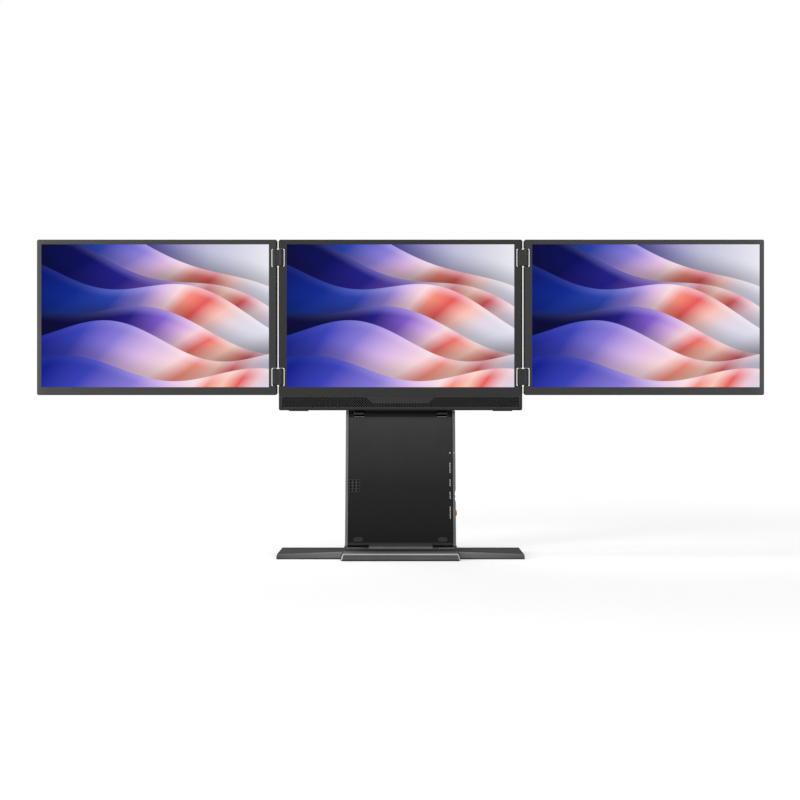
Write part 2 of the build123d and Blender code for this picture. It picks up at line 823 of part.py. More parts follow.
def base_ribs():
    """Ribs under the wings and across the spine."""
    ribs = []
    top = wing_height - base_wall / 2
    for side in (-1, 1):
        for step in range(1, wing_ribs + 1):
            share = step / (wing_ribs + 1)
            x = side * (spine_half + share * (wing_tip_x - spine_half))
            crease = crease_root_y + share * (crease_tip_y - crease_root_y)
            ribs.append(block(x - wing_rib / 2, x + wing_rib / 2, crease + base_wall,
                              wing_rear_y - base_wall / 2, floor_top_z, top))
    half = spine_half - floor_inset
    rib_places = (nose_rear_y - wing_rib, wing_rear_y + spine_rib_gap,
                  spine_rear_y - 2 * spine_rib_gap)
    for y in rib_places:
        ribs.append(block(-half, half, y - wing_rib / 2, y + wing_rib / 2, floor_top_z, top))
    return ribs


def screw_places():
    """Places of the two screws at the rear edge of the floor."""
    x, y = screw_place
    return [(side * x, y) for side in (-1, 1)]


def floor_tabs(gap):
    """Two tabs at the floor's front edge, larger by a gap where they hook into the plate."""
    edge_y = nose_front_y + nose_wall + floor_inset
    tabs = []
    for side in (-1, 1):
        half = tab_width / 2 + gap
        tabs.append(block(side * tab_x - half, side * tab_x + half, edge_y - tab_reach - gap,
                          edge_y, pad_height - gap, floor_top_z + gap))
    return tabs


def screw_bosses():
    """Square posts under the base plate for the floor screws."""
    top = wing_height - base_wall / 2
    half = screw_boss_width / 2
    return [block(x - half, x + half, y - half, y + half, floor_top_z, top)
            for x, y in screw_places()]


def base_screws():
    """Screws that hold the floor plate."""
    screws = []
    for x, y in screw_places():
        head = rod_z(screw_head_radius, x, y, pad_height - screw_head_height, pad_height)
        shank = rod_z(screw_radius - pin_clearance, x, y, pad_height, floor_top_z + screw_bite)
        screws.append(head + shank)
    return group(screws)


def base_floor():
    """Steel plate that closes the base from below: hooked in at its front, screwed at its rear."""
    floor = base_outline(floor_inset, pad_height, floor_top_z) + floor_tabs(0)
    for x, y in screw_places():
        floor = floor - rod_z(screw_radius, x, y, 0, wing_height)
    return floor


def nose_cover():
    """Front block: a cap over the plate's front with slanted, bright-edged sides."""
    bottom = spine_width / 2
    top = nose_top_width / 2
    face = Plane.XZ * Polygon((-bottom, skirt_height), (bottom, skirt_height),
                              (top, nose_height), (-top, nose_height), align=None)
    half_depth = (nose_rear_y - nose_front_y) / 2
    cap = Pos(0, nose_rear_y - half_depth, 0) * extrude(face, amount=half_depth, both=True)
    rim = cap.faces().sort_by(Axis.Z)[-1].edges()
    sides = cap.faces().sort_by(Axis.Y)[0].edges().filter_by(Axis.X, reverse=True)
    cap = chamfer(rim + sides, nose_chamfer)
    lower_front = nose_front_y + nose_wall
    inner = block(-spine_width, spine_width, lower_front, 0, 0, wing_height)
    return cap - inner


def rest_strip_block(z0, z1):
    """Block over the rest strip, between two heights."""
    return block(-rest_strip_width / 2, rest_strip_width / 2,
                 rest_strip_y - rest_strip_depth / 2, rest_strip_y + rest_strip_depth / 2, z0, z1)


def rest_strip():
    """Black rubber strip in front of the hinge."""
    return rest_strip_block(wing_height - rest_strip_sink, wing_height + rest_strip_proud)


def hinge_lugs():
    """Two steel lugs on the floor plate, one at each end of the barrel."""
    lugs = []
    for side in (-1, 1):
        near = side * (base_barrel_width / 2 + lug_gap)
        far = near + side * lug_width
        x0 = min(near, far)
        x1 = max(near, far)
        lug = rod_x(base_barrel_radius, x0, x1, base_hinge_y, base_hinge_z)
        lug = lug + block(x0, x1, base_hinge_y - base_barrel_radius,
                          base_hinge_y + base_barrel_radius, floor_top_z, base_hinge_z)
        lug = lug - rod_x(base_pin_radius, x0 - 1, x1 + 1, base_hinge_y, base_hinge_z)
        lugs.append(lug)
    return group(lugs)


def base_hinge_pin():
    """Steel pin of the base hinge, held by the lugs."""
    half = base_barrel_width / 2 + lug_gap + lug_width
    return rod_x(base_pin_radius, -half, half, base_hinge_y, base_hinge_z)


def base_pad():
    """Large rubber pad under the spine."""
    width, length = base_pad_size
    pad = block(-width / 2, width / 2, -length / 2, length / 2, 0, pad_height)
    return chamfer(pad.edges().filter_by(Axis.Z), base_pad_corner)


def wing_feet():
    """Four rubber feet with clipped corners under the wings."""
    x, spread = foot_place
    middle_y = (wing_front_y + wing_rear_y) / 2
    width, depth = foot_size
    foot = block(-width / 2, width / 2, -depth / 2, depth / 2, 0, pad_height)
    foot = chamfer(foot.edges().filter_by(Axis.Z), foot_corner)
    return group([Pos(side * x, middle_y + end * spread, 0) * foot
                  for side in (-1, 1) for end in (-1, 1)])


# ---- The whole object -----------------------------------------------------------------------
def all_parts():
    """Every sub-part by its name."""
    parts = {"base_plate": base_plate(), "nose_cover": nose_cover(), "base_floor": base_floor(),
             "rest_strip": rest_strip(), "hinge_lugs": hinge_lugs(),
             "base_hinge_pin": base_hinge_pin(), "base_pad": base_pad(),
             "wing_feet": wing_feet(), "base_screws": base_screws(),
             "column_shell": column_shell(), "column_panel": column_panel(),
             "rest_pads": rest_pads(), "hub_board": hub_board(),
             "usb_c_socket": socket(usb_opening, usb_rise),
             "mini_hdmi_socket": socket(hdmi_opening, hdmi_rise),
             "status_light": status_light(), "dial_axle": dial_axle(), "tilt_rod": tilt_rod(),
             "menu_toggle": menu_toggle(), "dial_wheel": dial_wheel()}
    for name, shape in centre_screen().items():
        parts["centre_" + name] = shape
    for side, label in ((-1, "left"), (1, "right")):
        parts[label + "_links"] = double_links(side)
        for name, shape in side_screen(side).items():
            parts[label + "_" + name] = shape
    return parts


os.makedirs("parts", exist_ok=True)
for part_name, part_shape in all_parts().items():
    export_step(part_shape, "parts/" + part_name + ".step")
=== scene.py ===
import json
import math
import bmesh
import bpy
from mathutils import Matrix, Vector


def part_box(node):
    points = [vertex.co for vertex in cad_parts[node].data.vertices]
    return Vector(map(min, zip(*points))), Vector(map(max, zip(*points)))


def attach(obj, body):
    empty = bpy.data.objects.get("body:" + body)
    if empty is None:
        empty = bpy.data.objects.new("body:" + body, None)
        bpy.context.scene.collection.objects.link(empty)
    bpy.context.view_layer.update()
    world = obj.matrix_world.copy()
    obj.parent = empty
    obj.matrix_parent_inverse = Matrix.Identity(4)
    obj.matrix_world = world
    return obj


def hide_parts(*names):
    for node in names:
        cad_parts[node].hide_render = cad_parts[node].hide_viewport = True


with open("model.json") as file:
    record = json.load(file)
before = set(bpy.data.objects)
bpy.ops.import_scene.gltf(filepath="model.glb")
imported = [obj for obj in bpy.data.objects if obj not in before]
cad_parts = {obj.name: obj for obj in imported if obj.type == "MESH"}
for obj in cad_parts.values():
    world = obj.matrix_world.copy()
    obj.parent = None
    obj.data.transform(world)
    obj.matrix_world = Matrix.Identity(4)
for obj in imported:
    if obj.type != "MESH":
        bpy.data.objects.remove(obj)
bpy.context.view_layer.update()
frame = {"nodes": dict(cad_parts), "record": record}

SIDES = (("left", -1), ("right", 1))

# ---- Camera, lights and floor ---------------------------------------------------------------
CAMERA_PLACE = (-0.0007, -1.9565, 0.200)
CAMERA_LENS = 67.8
CAMERA_REACH = 50.0
SENSOR_WIDTH = 36.0
# Name, place, size and power
LAMPS = (
    ("left_lamp", (-1.9, -1.5, 0.75), 1.0, 27.0),
    ("right_lamp", (1.9, -1.5, 0.70), 1.0, 10.5),
    ("front_lamp", (0.0, -2.6, 0.95), 1.4, 12.0),
    ("top_lamp", (0.0, 0.1, 2.0), 0.8, 9.0),
    ("back_lamp", (-0.5, 1.9, 1.3), 1.2, 14.0),
)
LAMP_AIM = (0.0, 0.0, 0.22)
WORLD_LIGHT = 0.30
FLOOR_HALF = 4.0
FLOOR_CELLS = 8
FLOOR_GLOW = 0.30
FLOOR_FADE = (0.45, 1.3)

# ---- Column: x, depth behind the base hinge, and rise along the leaning column --------------
HINGE_PLACE = (0.0, 0.0182, 0.0063)
COLUMN_LEAN = math.radians(12.1)
COLUMN_RISE = 0.180
COLUMN_INNER_HALF = 0.0693
COLUMN_REAR_DEPTH = 0.0166
COLUMN_BACK_DEPTH = 0.01675
COLUMN_FOOT_RISE = 0.0052
KNUCKLE_HALF = 0.0413
KNUCKLE_FOOT = -0.001
KNUCKLE_RISE = 0.0044
SHELL_DEPTH = 0.00075
PANEL_DEPTH = 0.00135
# Span of the painted shadow under the centre screen at the column's head
BARREL_SPAN = (0.1765, 0.1815)
# Fade from the arm's front, painted near black as shade under the centre screen, to its head
ARM_FADE = (0.183, 0.187)
ARM_BAND_RISE = 0.1797
ARM_BAND_FADE = (0.0006, 0.0013)
DIAL_RISE = 0.0463
# Fade of the painted reflection of the orange dial on the right rim
DIAL_REFLECTION_FADE = (0.0055, 0.0075)
VENT_PLACE = (-0.0610, 0.0826)
VENT_HALF = (0.0070, 0.0082)
# Axis: y and z. Washer: inner end, thickness, inner and outer radius
TILT_AXIS = (0.06191, 0.18204)
TILT_WASHER = (0.0485, 0.00035, 0.00155, 0.0043)

# ---- Trim on the column: places are x and rise, sizes width and length ----------------------
PAD_PLACE = (0.0554, 0.0108)
PAD_SIZE = (0.0062, 0.0130)
PAD_HEIGHT = 0.0009
PAD_PROFILE = ((1.0, 0.0), (1.0, 0.5), (0.93, 0.85), (0.78, 1.0))
PAD_STEPS = 8
MARK_X = 0.0656
MARK_SIZE = (0.00135, 0.0018)
MARK_STEP = 0.0024
MARK_PROUD = 0.00006
MARK_STEPS = 6
# Rise of a group's middle, and how many dashes it has
MARK_GROUPS = ((0.1066, 6), (0.0864, 4), (0.0695, 4), (0.0465, 7))
LIGHT_DOT_RISE = 0.1265
LIGHT_DOT_SIZE = (0.0018, 0.001818)
PIP_PLACE = (0.0713, 0.0694)
PIP_SIZE = (0.0013, 0.0014)
PIP_PROUD = 0.0003
PIP_TAPER = 0.9
PIP_STEPS = 12

# ---- Base -----------------------------------------------------------------------------------
SPINE_HALF = 0.0746
SPINE_SPAN = (-0.040, 0.040)
SEAT_HALF = 0.0712
LUG_SPAN = (0.005, 0.009)
WING_TIP_X = 0.1558
WING_REAR_FADE = (0.0085, 0.0135)
WING_EDGE_TOP = 0.0021
WING_EDGE_PLAY = 0.0001
# The crease's y and the light on the front facet, each at the spine and at the wing's tip
CREASE_Y = (-0.0315, -0.0615)
FACET_LIGHT = (1.17, 0.50)
CREASE_SPAN = (-0.03, 0.03)
CREASE_FADE = (-0.0045, -0.003)
PLATE_TOP = 0.0056
# Black sheet under the column, which stands in for the shade there
SHADOW_SHEET_TOP = 0.0059
SHADOW_SHEET_HALF = 0.0705
SHADOW_SHEET_FRONT_Y = 0.0345
SHADOW_SHEET_REAR_Y = 0.0835
SHADOW_SHEET_CORNER = 0.004
SHADOW_SHEET_STEPS = 6
NOSE_FRONT_Y = -0.0885
NOSE_REAR_Y = -0.0390
NOSE_FACE_TOP = 0.0077
NOSE_FACE_PLAY = 0.0002
# Fade of the painted highlight on the nose's chamfer and flanks, from the front
NOSE_HIGHLIGHT_FADE = (-0.0825, -0.0845)
# Upward part of the normal where a face becomes the chamfer with the painted highlight and where
# it ends being it, and the sideways part from which a face is a flank with the painted highlight
CHAMFER_SLOPE_LOW = (0.25, 0.45)
CHAMFER_SLOPE_HIGH = (0.95, 0.85)
FLANK_SLOPE = 0.35

# ---- Casings and links ----------------------------------------------------------------------
# Span of the painted light across the side bezels, then the fades of the painted shade along the
# casings' edges
BEZEL_SPAN = (0.160, 0.480)
BEZEL_INNER_FADE = (0.1654, 0.1662)
BEZEL_LOWER_FADE = (0.2076, 0.2083)
CENTRE_SIDE_FADE = (0.1596, 0.1604)
CENTRE_LOWER_FADE = (0.1875, 0.1881)
LINK_HEIGHT = 0.0216
LINK_PIN_X = (0.15875, 0.16705)
WASHER_RADII = (0.00112, 0.0029)
WASHER_BELOW = 0.00110
WASHER_ABOVE = 0.0006
WASHER_PLAY = 0.00005
SLEEVE_RADII = (0.0029, 0.00355)
SLEEVE_END = 0.0004
RING_STEPS = 24
# Foot and head of each run of a seal, between the links
SEAL_RUNS = ((0.2085, 0.2180), (0.2430, 0.3766), (0.4016, 0.4110))
# Place of the casing's edge, and how far the seal stands out from it
CENTRE_SEAL = (0.1618, 0.0003)
SIDE_SEAL = (0.1640, -0.0005)
SEAL_HALF_DEPTH = 0.0020
SEAL_PROFILE = ((0.0, -1.0), (0.6, -0.8), (1.0, -0.4), (1.0, 0.4), (0.6, 0.8), (0.0, 1.0))

# ---- Screws: sizes are radius and height, places x and z, on the column x and rise ----------
SMALL_SCREW = (0.0015, 0.00025)
ARM_SCREW = (0.0021, 0.0007)
SCREW_STEPS = 24
SCREW_PROFILE = ((1.0, 0.0), (1.0, 0.45), (0.88, 0.9), (0.6, 1.0), (0.4, 1.0), (0.38, 0.25))
SCREW_RECESS = 0.5
SCREW_LOBES = 6
LOBE_DEPTH = 0.16
COVER_BACK_Y = 0.05111
ARM_BACK_Y = 0.05311
ARM_SCREW_PLACES = ((0.0554, 0.1965), (0.0554, 0.2015))
CENTRE_SCREW_PLACES = ((0.1545, 0.1915), (0.1545, 0.3100), (0.1545, 0.4085))
SIDE_SCREW_PLACES = ((0.1760, 0.2110), (0.1760, 0.4085), (0.3234, 0.2110), (0.3234, 0.4085),
                     (0.4775, 0.2110), (0.4775, 0.4085))
COLUMN_SCREW_PLACES = ((0.0635, 0.020), (0.0635, 0.158))

# ---- Speaker mesh ---------------------------------------------------------------------------
MESH_STEP = 0.00180
MESH_OPEN = 0.80
BADGE_ROWS = 6
BADGE_HALF_TOP = 0.0458
BADGE_DROP = (BADGE_ROWS - 0.4) * MESH_STEP
CLOTH_THICKNESS = 0.0002

# ---- Surfaces: noise scales are cells to the metre ------------------------------------------
EDGE_RADIUS = 0.0003
# Cosine between the true and the rounded normal, from no wear and painted edge highlight to full
EDGE_TURN = (0.999, 0.93)
CLOUD_SCALE = 28.0
CLOUD_LEVELS = (0.9, 1.06)
GRAIN_LEVELS = (0.85, 1.2)
WEAR_AND_SHEEN_SCALE = 240.0
WEAR_AND_SHEEN_LEVELS = (0.35, 1.0)
WEAR_POLISH = 0.12
MATT_LESS = 0.04
MATT_MORE = 0.05
DULL_ROUGHNESS = 0.95
DRAWN_LINES = (40.0, 2200.0, 2200.0)
# The part of a noise's range that each use takes
NOISE_SPAN = (0.2, 0.8)
STAIN_SPAN = (0.3, 0.75)
CLOUD_SPAN = (0.3, 0.7)
WEAR_AND_SHEEN_SPAN = (0.35, 0.7)
TARNISH_SPAN = (0.35, 0.8)
# A fade from 1 down to 0
FALL = (1.0, 0.0)

# ---- Pictures on the displays: shares of the picture's width and height ---------------------
DISPLAY_MARGIN = 0.0010
DISPLAY_LIGHT = 0.95
WAVE_BEND = 2.3 * math.pi
WAVE_EASE = 1.35
CREST_EDGE = 0.003
CAST_REACH = 0.16
CAST_DARKEST = 0.62
HUE_DRIFT = 0.55
HUE_START = -0.04
GLOW_WIDTH = 0.07
GLOW_LIGHT = 0.5
# Where a crest's glow grows from left to right, and from how much to how much
GLOW_FADE = (0.05, 0.75)
GLOW_GROWTH = (0.12, 1.0)


# ---- Colours --------------------------------------------------------------------------------
def srgb(red, green, blue):
    """Colour as painted, from display values of 0 to 255, as a linear colour."""
    linear = []
    for value in (red, green, blue):
        share = value / 255
        linear.append(share / 12.92 if share <= 0.04045 else ((share + 0.055) / 1.055) ** 2.4)
    return (*linear, 1.0)


def shade(colour, factor):
    """The same hue, lighter or darker."""
    return (*(factor * value for value in colour[:3]), 1.0)


def greys(*stops):
    """Stops of a ramp: place, level, and the blue that cools or warms the grey."""
    return tuple((place, srgb(level, level, blue)) for place, level, blue in stops)


WHITE = (1.0, 1.0, 1.0, 1.0)
FLOOR_TONES = (srgb(236, 236, 236), srgb(242, 242, 242))

COLUMN_METAL = srgb(112, 112, 113)
# Painted highlight along the column's foot between the rims
COLUMN_FOOT_HIGHLIGHT = srgb(84, 84, 84)
# Painted shade: the right rim is darker than the left
RIM_RIGHT_SHADED = srgb(96, 96, 97)
# Painted reflection of the orange dial on the rim beside it
RIM_DIAL_REFLECTION = srgb(118, 103, 95)
# Painted shadow under the centre screen, darkening the head towards the top
BARREL_SHADOW_TONES = greys((0.0, 50, 50), (0.4, 30, 30), (0.75, 4, 4))
# Painted highlight, lighter towards the knuckle's foot
KNUCKLE_HIGHLIGHT_TONES = greys((0.0, 116, 117), (0.34, 94, 95), (0.46, 56, 57))
# Painted light and shade on the panel: a highlight at the foot, paler towards the head, a shadow
# at the very head
PANEL_LIGHT_AND_SHADE = greys((0.033, 54, 54), (0.040, 23, 23), (0.45, 34, 34), (0.85, 54, 54),
                    (0.92, 58, 58), (0.96, 59, 59), (0.975, 46, 46))
VENT_FIELD = srgb(60, 60, 60)
# Painted shade on the arm's front under the centre screen
ARM_FRONT_SHADED = srgb(3, 3, 3)
ARM_HEAD = srgb(24, 24, 24)
ARM_BAND = srgb(70, 70, 70)

# Painted light: the side bezels paler towards their outer edges
BEZEL_LIGHT_TONES = greys((0.0, 36, 35), (0.5, 46, 45), (0.96, 56, 55), (1.0, 66, 67))
# Painted shade: the centre casing is a darker copy of the side casings' black
CENTRE_BLACK_SHADED = srgb(34, 34, 33)
# Painted shade along the casings' rounded inner and lower edges
CASING_EDGE_SHADE = srgb(8, 8, 9)
MESH_WEB = srgb(57, 57, 56)
MESH_BADGE = srgb(41, 41, 40)

# Painted shade above and painted light towards the lugs' foot
LUG_LIGHT_AND_SHADE = greys((0.0, 86, 87), (0.33, 80, 81), (0.38, 50, 51), (0.64, 46, 47), (0.70, 6, 6))
# Painted light: dark top, painted highlight along the crease, paler facet in front
WING_LIGHT_TONES = greys((0.0, 51, 52), (0.33, 48, 49), (0.40, 42, 43), (0.43, 130, 131),
                   (0.53, 128, 129), (0.59, 113, 114), (0.72, 108, 109), (1.0, 104, 105))
WING_REAR = srgb(35, 35, 36)
# Front edge of the wings: dark at the foot, with a painted highlight along its top
WING_EDGE_HIGHLIGHT_TONES = greys((0.0, 46, 47), (0.6, 52, 53), (0.9, 92, 93))
# Painted shade in front of the rest strip and a pale lip of painted light before the hinge
SPINE_LIGHT_AND_SHADE = greys((0.0, 56, 57), (0.30, 44, 45), (0.44, 22, 23), (0.61, 36, 37),
                    (0.65, 108, 109), (0.90, 104, 105), (0.94, 62, 63))
SPINE_SIDE = srgb(58, 58, 59)
# Painted light on the nose's top, paler towards the front
NOSE_TOP_LIGHT_TONES = greys((0.03, 130, 131), (0.16, 112, 113), (0.36, 84, 85), (0.75, 56, 57),
                       (0.84, 22, 23))
NOSE_FACE_TONES = greys((0.0, 30, 31), (0.21, 34, 35), (0.26, 90, 91), (0.60, 86, 87),
                        (0.90, 80, 81), (1.0, 88, 89))
# Painted highlights on the nose's chamfer and flanks
NOSE_CHAMFER_HIGHLIGHT = srgb(172, 172, 173)
NOSE_FLANK_HIGHLIGHT = srgb(196, 196, 197)

BOARD_MASK = (srgb(14, 62, 34), srgb(18, 74, 40))
BOARD_TRACK = srgb(36, 104, 60)
BOARD_PAD = srgb(190, 180, 150)
MILK_TONES = (srgb(150, 152, 155), srgb(182, 184, 188))

DISPLAY_GLASS = srgb(4, 4, 6)
DEEP = ((0.00, srgb(2, 3, 62)), (0.18, srgb(5, 8, 92)), (0.34, srgb(40, 34, 150)),
        (0.48, srgb(132, 96, 206)), (0.57, srgb(214, 172, 230)), (0.62, srgb(250, 212, 222)),
        (0.68, srgb(242, 116, 104)), (0.76, srgb(255, 204, 188)), (0.85, srgb(226, 92, 92)),
        (0.92, srgb(240, 212, 222)), (1.00, srgb(224, 222, 240)))
ROYAL = ((0.00, srgb(2, 10, 96)), (0.20, srgb(8, 40, 142)), (0.37, srgb(48, 76, 190)),
         (0.49, srgb(146, 132, 220)), (0.58, srgb(232, 194, 234)), (0.64, srgb(255, 222, 226)),
         (0.70, srgb(250, 150, 130)), (0.78, srgb(236, 92, 90)), (0.86, srgb(255, 200, 188)),
         (0.93, srgb(232, 222, 234)), (1.00, srgb(228, 227, 242)))
DUSK = ((0.00, srgb(14, 30, 140)), (0.20, srgb(58, 66, 184)), (0.38, srgb(140, 124, 218)),
        (0.52, srgb(222, 188, 236)), (0.63, srgb(255, 222, 226)), (0.70, srgb(248, 146, 126)),
        (0.78, srgb(255, 204, 188)), (0.86, srgb(236, 96, 92)), (0.94, srgb(240, 206, 216)),
        (1.00, srgb(222, 218, 238)))
SKY = ((0.0, srgb(2, 4, 66)), (0.25, srgb(10, 20, 112)), (0.45, srgb(70, 72, 172)),
       (0.58, srgb(140, 136, 196)), (0.74, srgb(196, 196, 222)), (1.0, srgb(238, 238, 246)))
GLOW_HUES = ((0.0, srgb(90, 130, 255)), (0.45, srgb(190, 176, 255)), (0.8, srgb(250, 220, 236)))
# A crest's height at the left and at the right edge, its swell and phase, its hues and how far
# they are shifted
WAVES = (
    (1.22, 0.66, 0.050, 0.3, ROYAL, 0.04),
    (1.02, 0.52, 0.070, 1.5, DEEP, -0.03),
    (0.84, 0.47, 0.085, 2.9, ROYAL, 0.05),
    (0.60, 0.30, 0.075, 4.2, DEEP, -0.05),
    (0.42, 0.21, 0.090, 5.6, DUSK, 0.03),
    (0.16, 0.06, 0.070, 7.0, DUSK, -0.02),
)


# ---- Node helpers ---------------------------------------------------------------------------
MIX_INPUTS = (0, 6, 7)
MIX_OUTPUT = 2


class Graph:
    """Short calls for the nodes of one material, or of the world."""

    def __init__(self, owner):
        self.owner = owner
        owner.use_nodes = True
        self.tree = owner.node_tree
        self.tree.nodes.clear()

    def node(self, kind, **inputs):
        """Adds a node; each input is a number, a colour or another node's output."""
        node = self.tree.nodes.new("ShaderNode" + kind)
        for name, value in inputs.items():
            self.feed(node.inputs[name.replace("_", " ")], value)
        return node

    def feed(self, socket, value):
        if isinstance(value, bpy.types.NodeSocket):
            self.tree.links.new(value, socket)
        else:
            socket.default_value = value

    def feed_in_order(self, node, values):
        for index, value in enumerate(values):
            self.feed(node.inputs[index], value)

    def math(self, operation, *values):
        node = self.node("Math")
        node.operation = operation
        self.feed_in_order(node, values)
        return node.outputs[0]

    def product(self, a, b):
        return self.math("MULTIPLY", a, b)

    def less(self, a, b):
        return self.math("LESS_THAN", a, b)

    def distance(self, a, b):
        return self.math("ABSOLUTE", self.math("SUBTRACT", a, b))

    def mix(self, share, a, b, blend="MIX"):
        """Mixes two colours, through the sockets that the Mix node keeps for colours."""
        node = self.node("Mix")
        node.data_type = "RGBA"
        node.blend_type = blend
        for index, value in zip(MIX_INPUTS, (share, a, b)):
            self.feed(node.inputs[index], value)
        return node.outputs[MIX_OUTPUT]

    def lit(self, colour, factor):
        """A colour times a factor that varies."""
        return self.mix(1.0, colour, factor, "MULTIPLY")

    def spread(self, value, low, high, to=(0.0, 1.0), smooth=False):
        """Maps a range of one value to another range."""
        node = self.node("MapRange")
        node.interpolation_type = "SMOOTHSTEP" if smooth else "LINEAR"
        self.feed_in_order(node, (value, low, high, *to))
        return node.outputs[0]

    def ramp(self, value, stops):
        node = self.node("ValToRGB")
        elements = node.color_ramp.elements
        while len(elements) < len(stops):
            elements.new(0.5)
        for element, (place, colour) in zip(elements, stops):
            element.position = place
            element.color = colour
        self.feed(node.inputs[0], value)
        return node.outputs[0]

    def place(self):
        return self.node("TexCoord").outputs["Object"]

    def axes(self, vector=None):
        """X, Y and Z of a vector, or of the place on the piece."""
        return self.node("SeparateXYZ", Vector=vector or self.place()).outputs

    def noise(self, scale, detail=2.0, roughness=0.5, vector=None):
        """Noise over the piece; the scale counts cells to the metre."""
        return self.node("TexNoise", Scale=scale, Detail=detail, Roughness=roughness,
                         Vector=vector or self.place()).outputs[0]

    def bump(self, height, distance, **more):
        return self.node("Bump", Height=height, Distance=distance, Strength=1.0, **more).outputs[0]

    def sees_setting(self):
        """1 for rays that see the white setting, and 0 for those that light the object."""
        rays = self.node("LightPath").outputs
        seen = self.math("MAXIMUM", rays["Is Camera Ray"], rays["Is Glossy Ray"])
        return self.math("MAXIMUM", seen, rays["Is Transmission Ray"])

    def finish(self, surface, kind="Material"):
        self.node("Output" + kind, Surface=surface)
        return self.owner

    def plain_shader(self, **inputs):
        return self.finish(self.node("BsdfPrincipled", **inputs).outputs[0])


def new_graph(name):
    return Graph(bpy.data.materials.new(name))


# ---- Materials ------------------------------------------------------------------------------
def coated(name, paint, roughness, metallic=0.0, specular=0.5, grain=2600.0, depth=0.00002,
           wear_and_sheen_strength=1.0, dull=None):
    """Painted, anodised or moulded surface: fine grain, faint clouding and lighter edges, which
    are partly wear and partly a painted highlight.

    paint is a colour, or a function of the graph that gives it where it varies over the piece,
    and dull is a function that gives 1 where the surface has no polish.
    """
    g = new_graph(name)
    if callable(paint):
        paint = paint(g)
    rounded = g.node("Bevel", Radius=EDGE_RADIUS).outputs[0]
    turn = g.node("VectorMath")
    turn.operation = "DOT_PRODUCT"
    g.feed_in_order(turn, (rounded, g.node("NewGeometry").outputs["Normal"]))
    edges = g.spread(turn.outputs["Value"], *EDGE_TURN, smooth=True)
    fine = g.noise(grain, detail=3.0)
    cloud = g.noise(CLOUD_SCALE, detail=4.0, roughness=0.6)
    patches = g.noise(WEAR_AND_SHEEN_SCALE, detail=4.0)
    wear_and_sheen = g.product(edges, g.spread(patches, *WEAR_AND_SHEEN_SPAN, to=WEAR_AND_SHEEN_LEVELS))
    clouded = g.lit(paint, g.spread(cloud, *CLOUD_SPAN, to=CLOUD_LEVELS))
    speckled = g.lit(clouded, g.spread(fine, *STAIN_SPAN, to=GRAIN_LEVELS))
    # Lighter edges: partly wear, partly a painted highlight
    painted = g.lit(speckled, g.math("ADD", g.product(wear_and_sheen, wear_and_sheen_strength), 1.0))
    matt = g.spread(cloud, *NOISE_SPAN, to=(roughness - MATT_LESS, roughness + MATT_MORE))
    polish = g.math("SUBTRACT", matt, g.product(wear_and_sheen, WEAR_POLISH))
    if dull:
        polish = g.math("MAXIMUM", polish, g.product(dull(g), DULL_ROUGHNESS))
    return g.plain_shader(Base_Color=painted, Roughness=polish, Metallic=metallic,
                          Specular_IOR_Level=specular,
                          Normal=g.bump(fine, depth, Normal=rounded))


def flat_black(name, colour):
    """Cloth, felt or foam with no gloss at all; also the black that stands in for shade on the
    seals and on the sheet under the column.
    """
    g = new_graph(name)
    nap = g.noise(scale=3200.0, detail=4.0)
    return g.plain_shader(Base_Color=g.mix(g.spread(nap, *STAIN_SPAN), colour, shade(colour, 1.8)),
                          Roughness=g.spread(nap, *NOISE_SPAN, to=(0.9, 1.0)),
                          Specular_IOR_Level=0.0, Normal=g.bump(nap, distance=0.00004))


def rubber(name, colour):
    """Soft matt rubber with a faint bloom."""
    g = new_graph(name)
    fine = g.noise(scale=5200.0, detail=4.0)
    bloom = g.noise(scale=90.0, detail=5.0, roughness=0.65)
    body = g.mix(g.spread(bloom, *STAIN_SPAN), colour, shade(colour, 1.7))
    return g.plain_shader(Base_Color=body, Specular_IOR_Level=0.3,
                          Roughness=g.spread(bloom, *NOISE_SPAN, to=(0.72, 0.9)),
                          Normal=g.bump(fine, distance=0.00003))


def turned_steel(name, colour, roughness):
    """Bare steel with fine drawn lines and slight tarnish."""
    g = new_graph(name)
    stretch = g.node("Mapping", Vector=g.place(), Scale=DRAWN_LINES).outputs[0]
    lines = g.noise(scale=1.0, detail=4.0, roughness=0.7, vector=stretch)
    tarnish = g.noise(scale=160.0, detail=4.0)
    body = g.mix(g.spread(tarnish, *TARNISH_SPAN), colour, shade(colour, 0.72))
    gloss = g.spread(lines, *NOISE_SPAN, to=(roughness - 0.06, roughness + 0.12))
    return g.plain_shader(Base_Color=body, Metallic=1.0, Roughness=gloss,
                          Normal=g.bump(lines, distance=0.00001))


def circuit_board(name):
    """Solder mask over copper tracks, with a few pale pads."""
    g = new_graph(name)
    tracks = g.node("TexBrick", Scale=260.0, Mortar_Size=0.05, Vector=g.place(),
                    Color1=BOARD_MASK[0], Color2=BOARD_MASK[1], Mortar=BOARD_TRACK)
    pads = g.node("TexVoronoi", Scale=420.0, Vector=g.place()).outputs["Distance"]
    body = g.mix(g.spread(pads, 0.16, 0.12), tracks.outputs[0], BOARD_PAD)
    return g.plain_shader(Base_Color=body,
                          Roughness=g.spread(pads, 0.1, 0.6, to=(0.3, 0.45)))


def milky_plastic(name):
    """Hazy plastic of the unlit status light."""
    g = new_graph(name)
    haze = g.noise(scale=900.0, detail=3.0)
    return g.plain_shader(Base_Color=g.mix(haze, *MILK_TONES),
                          Roughness=g.spread(haze, *NOISE_SPAN, to=(0.18, 0.3)))


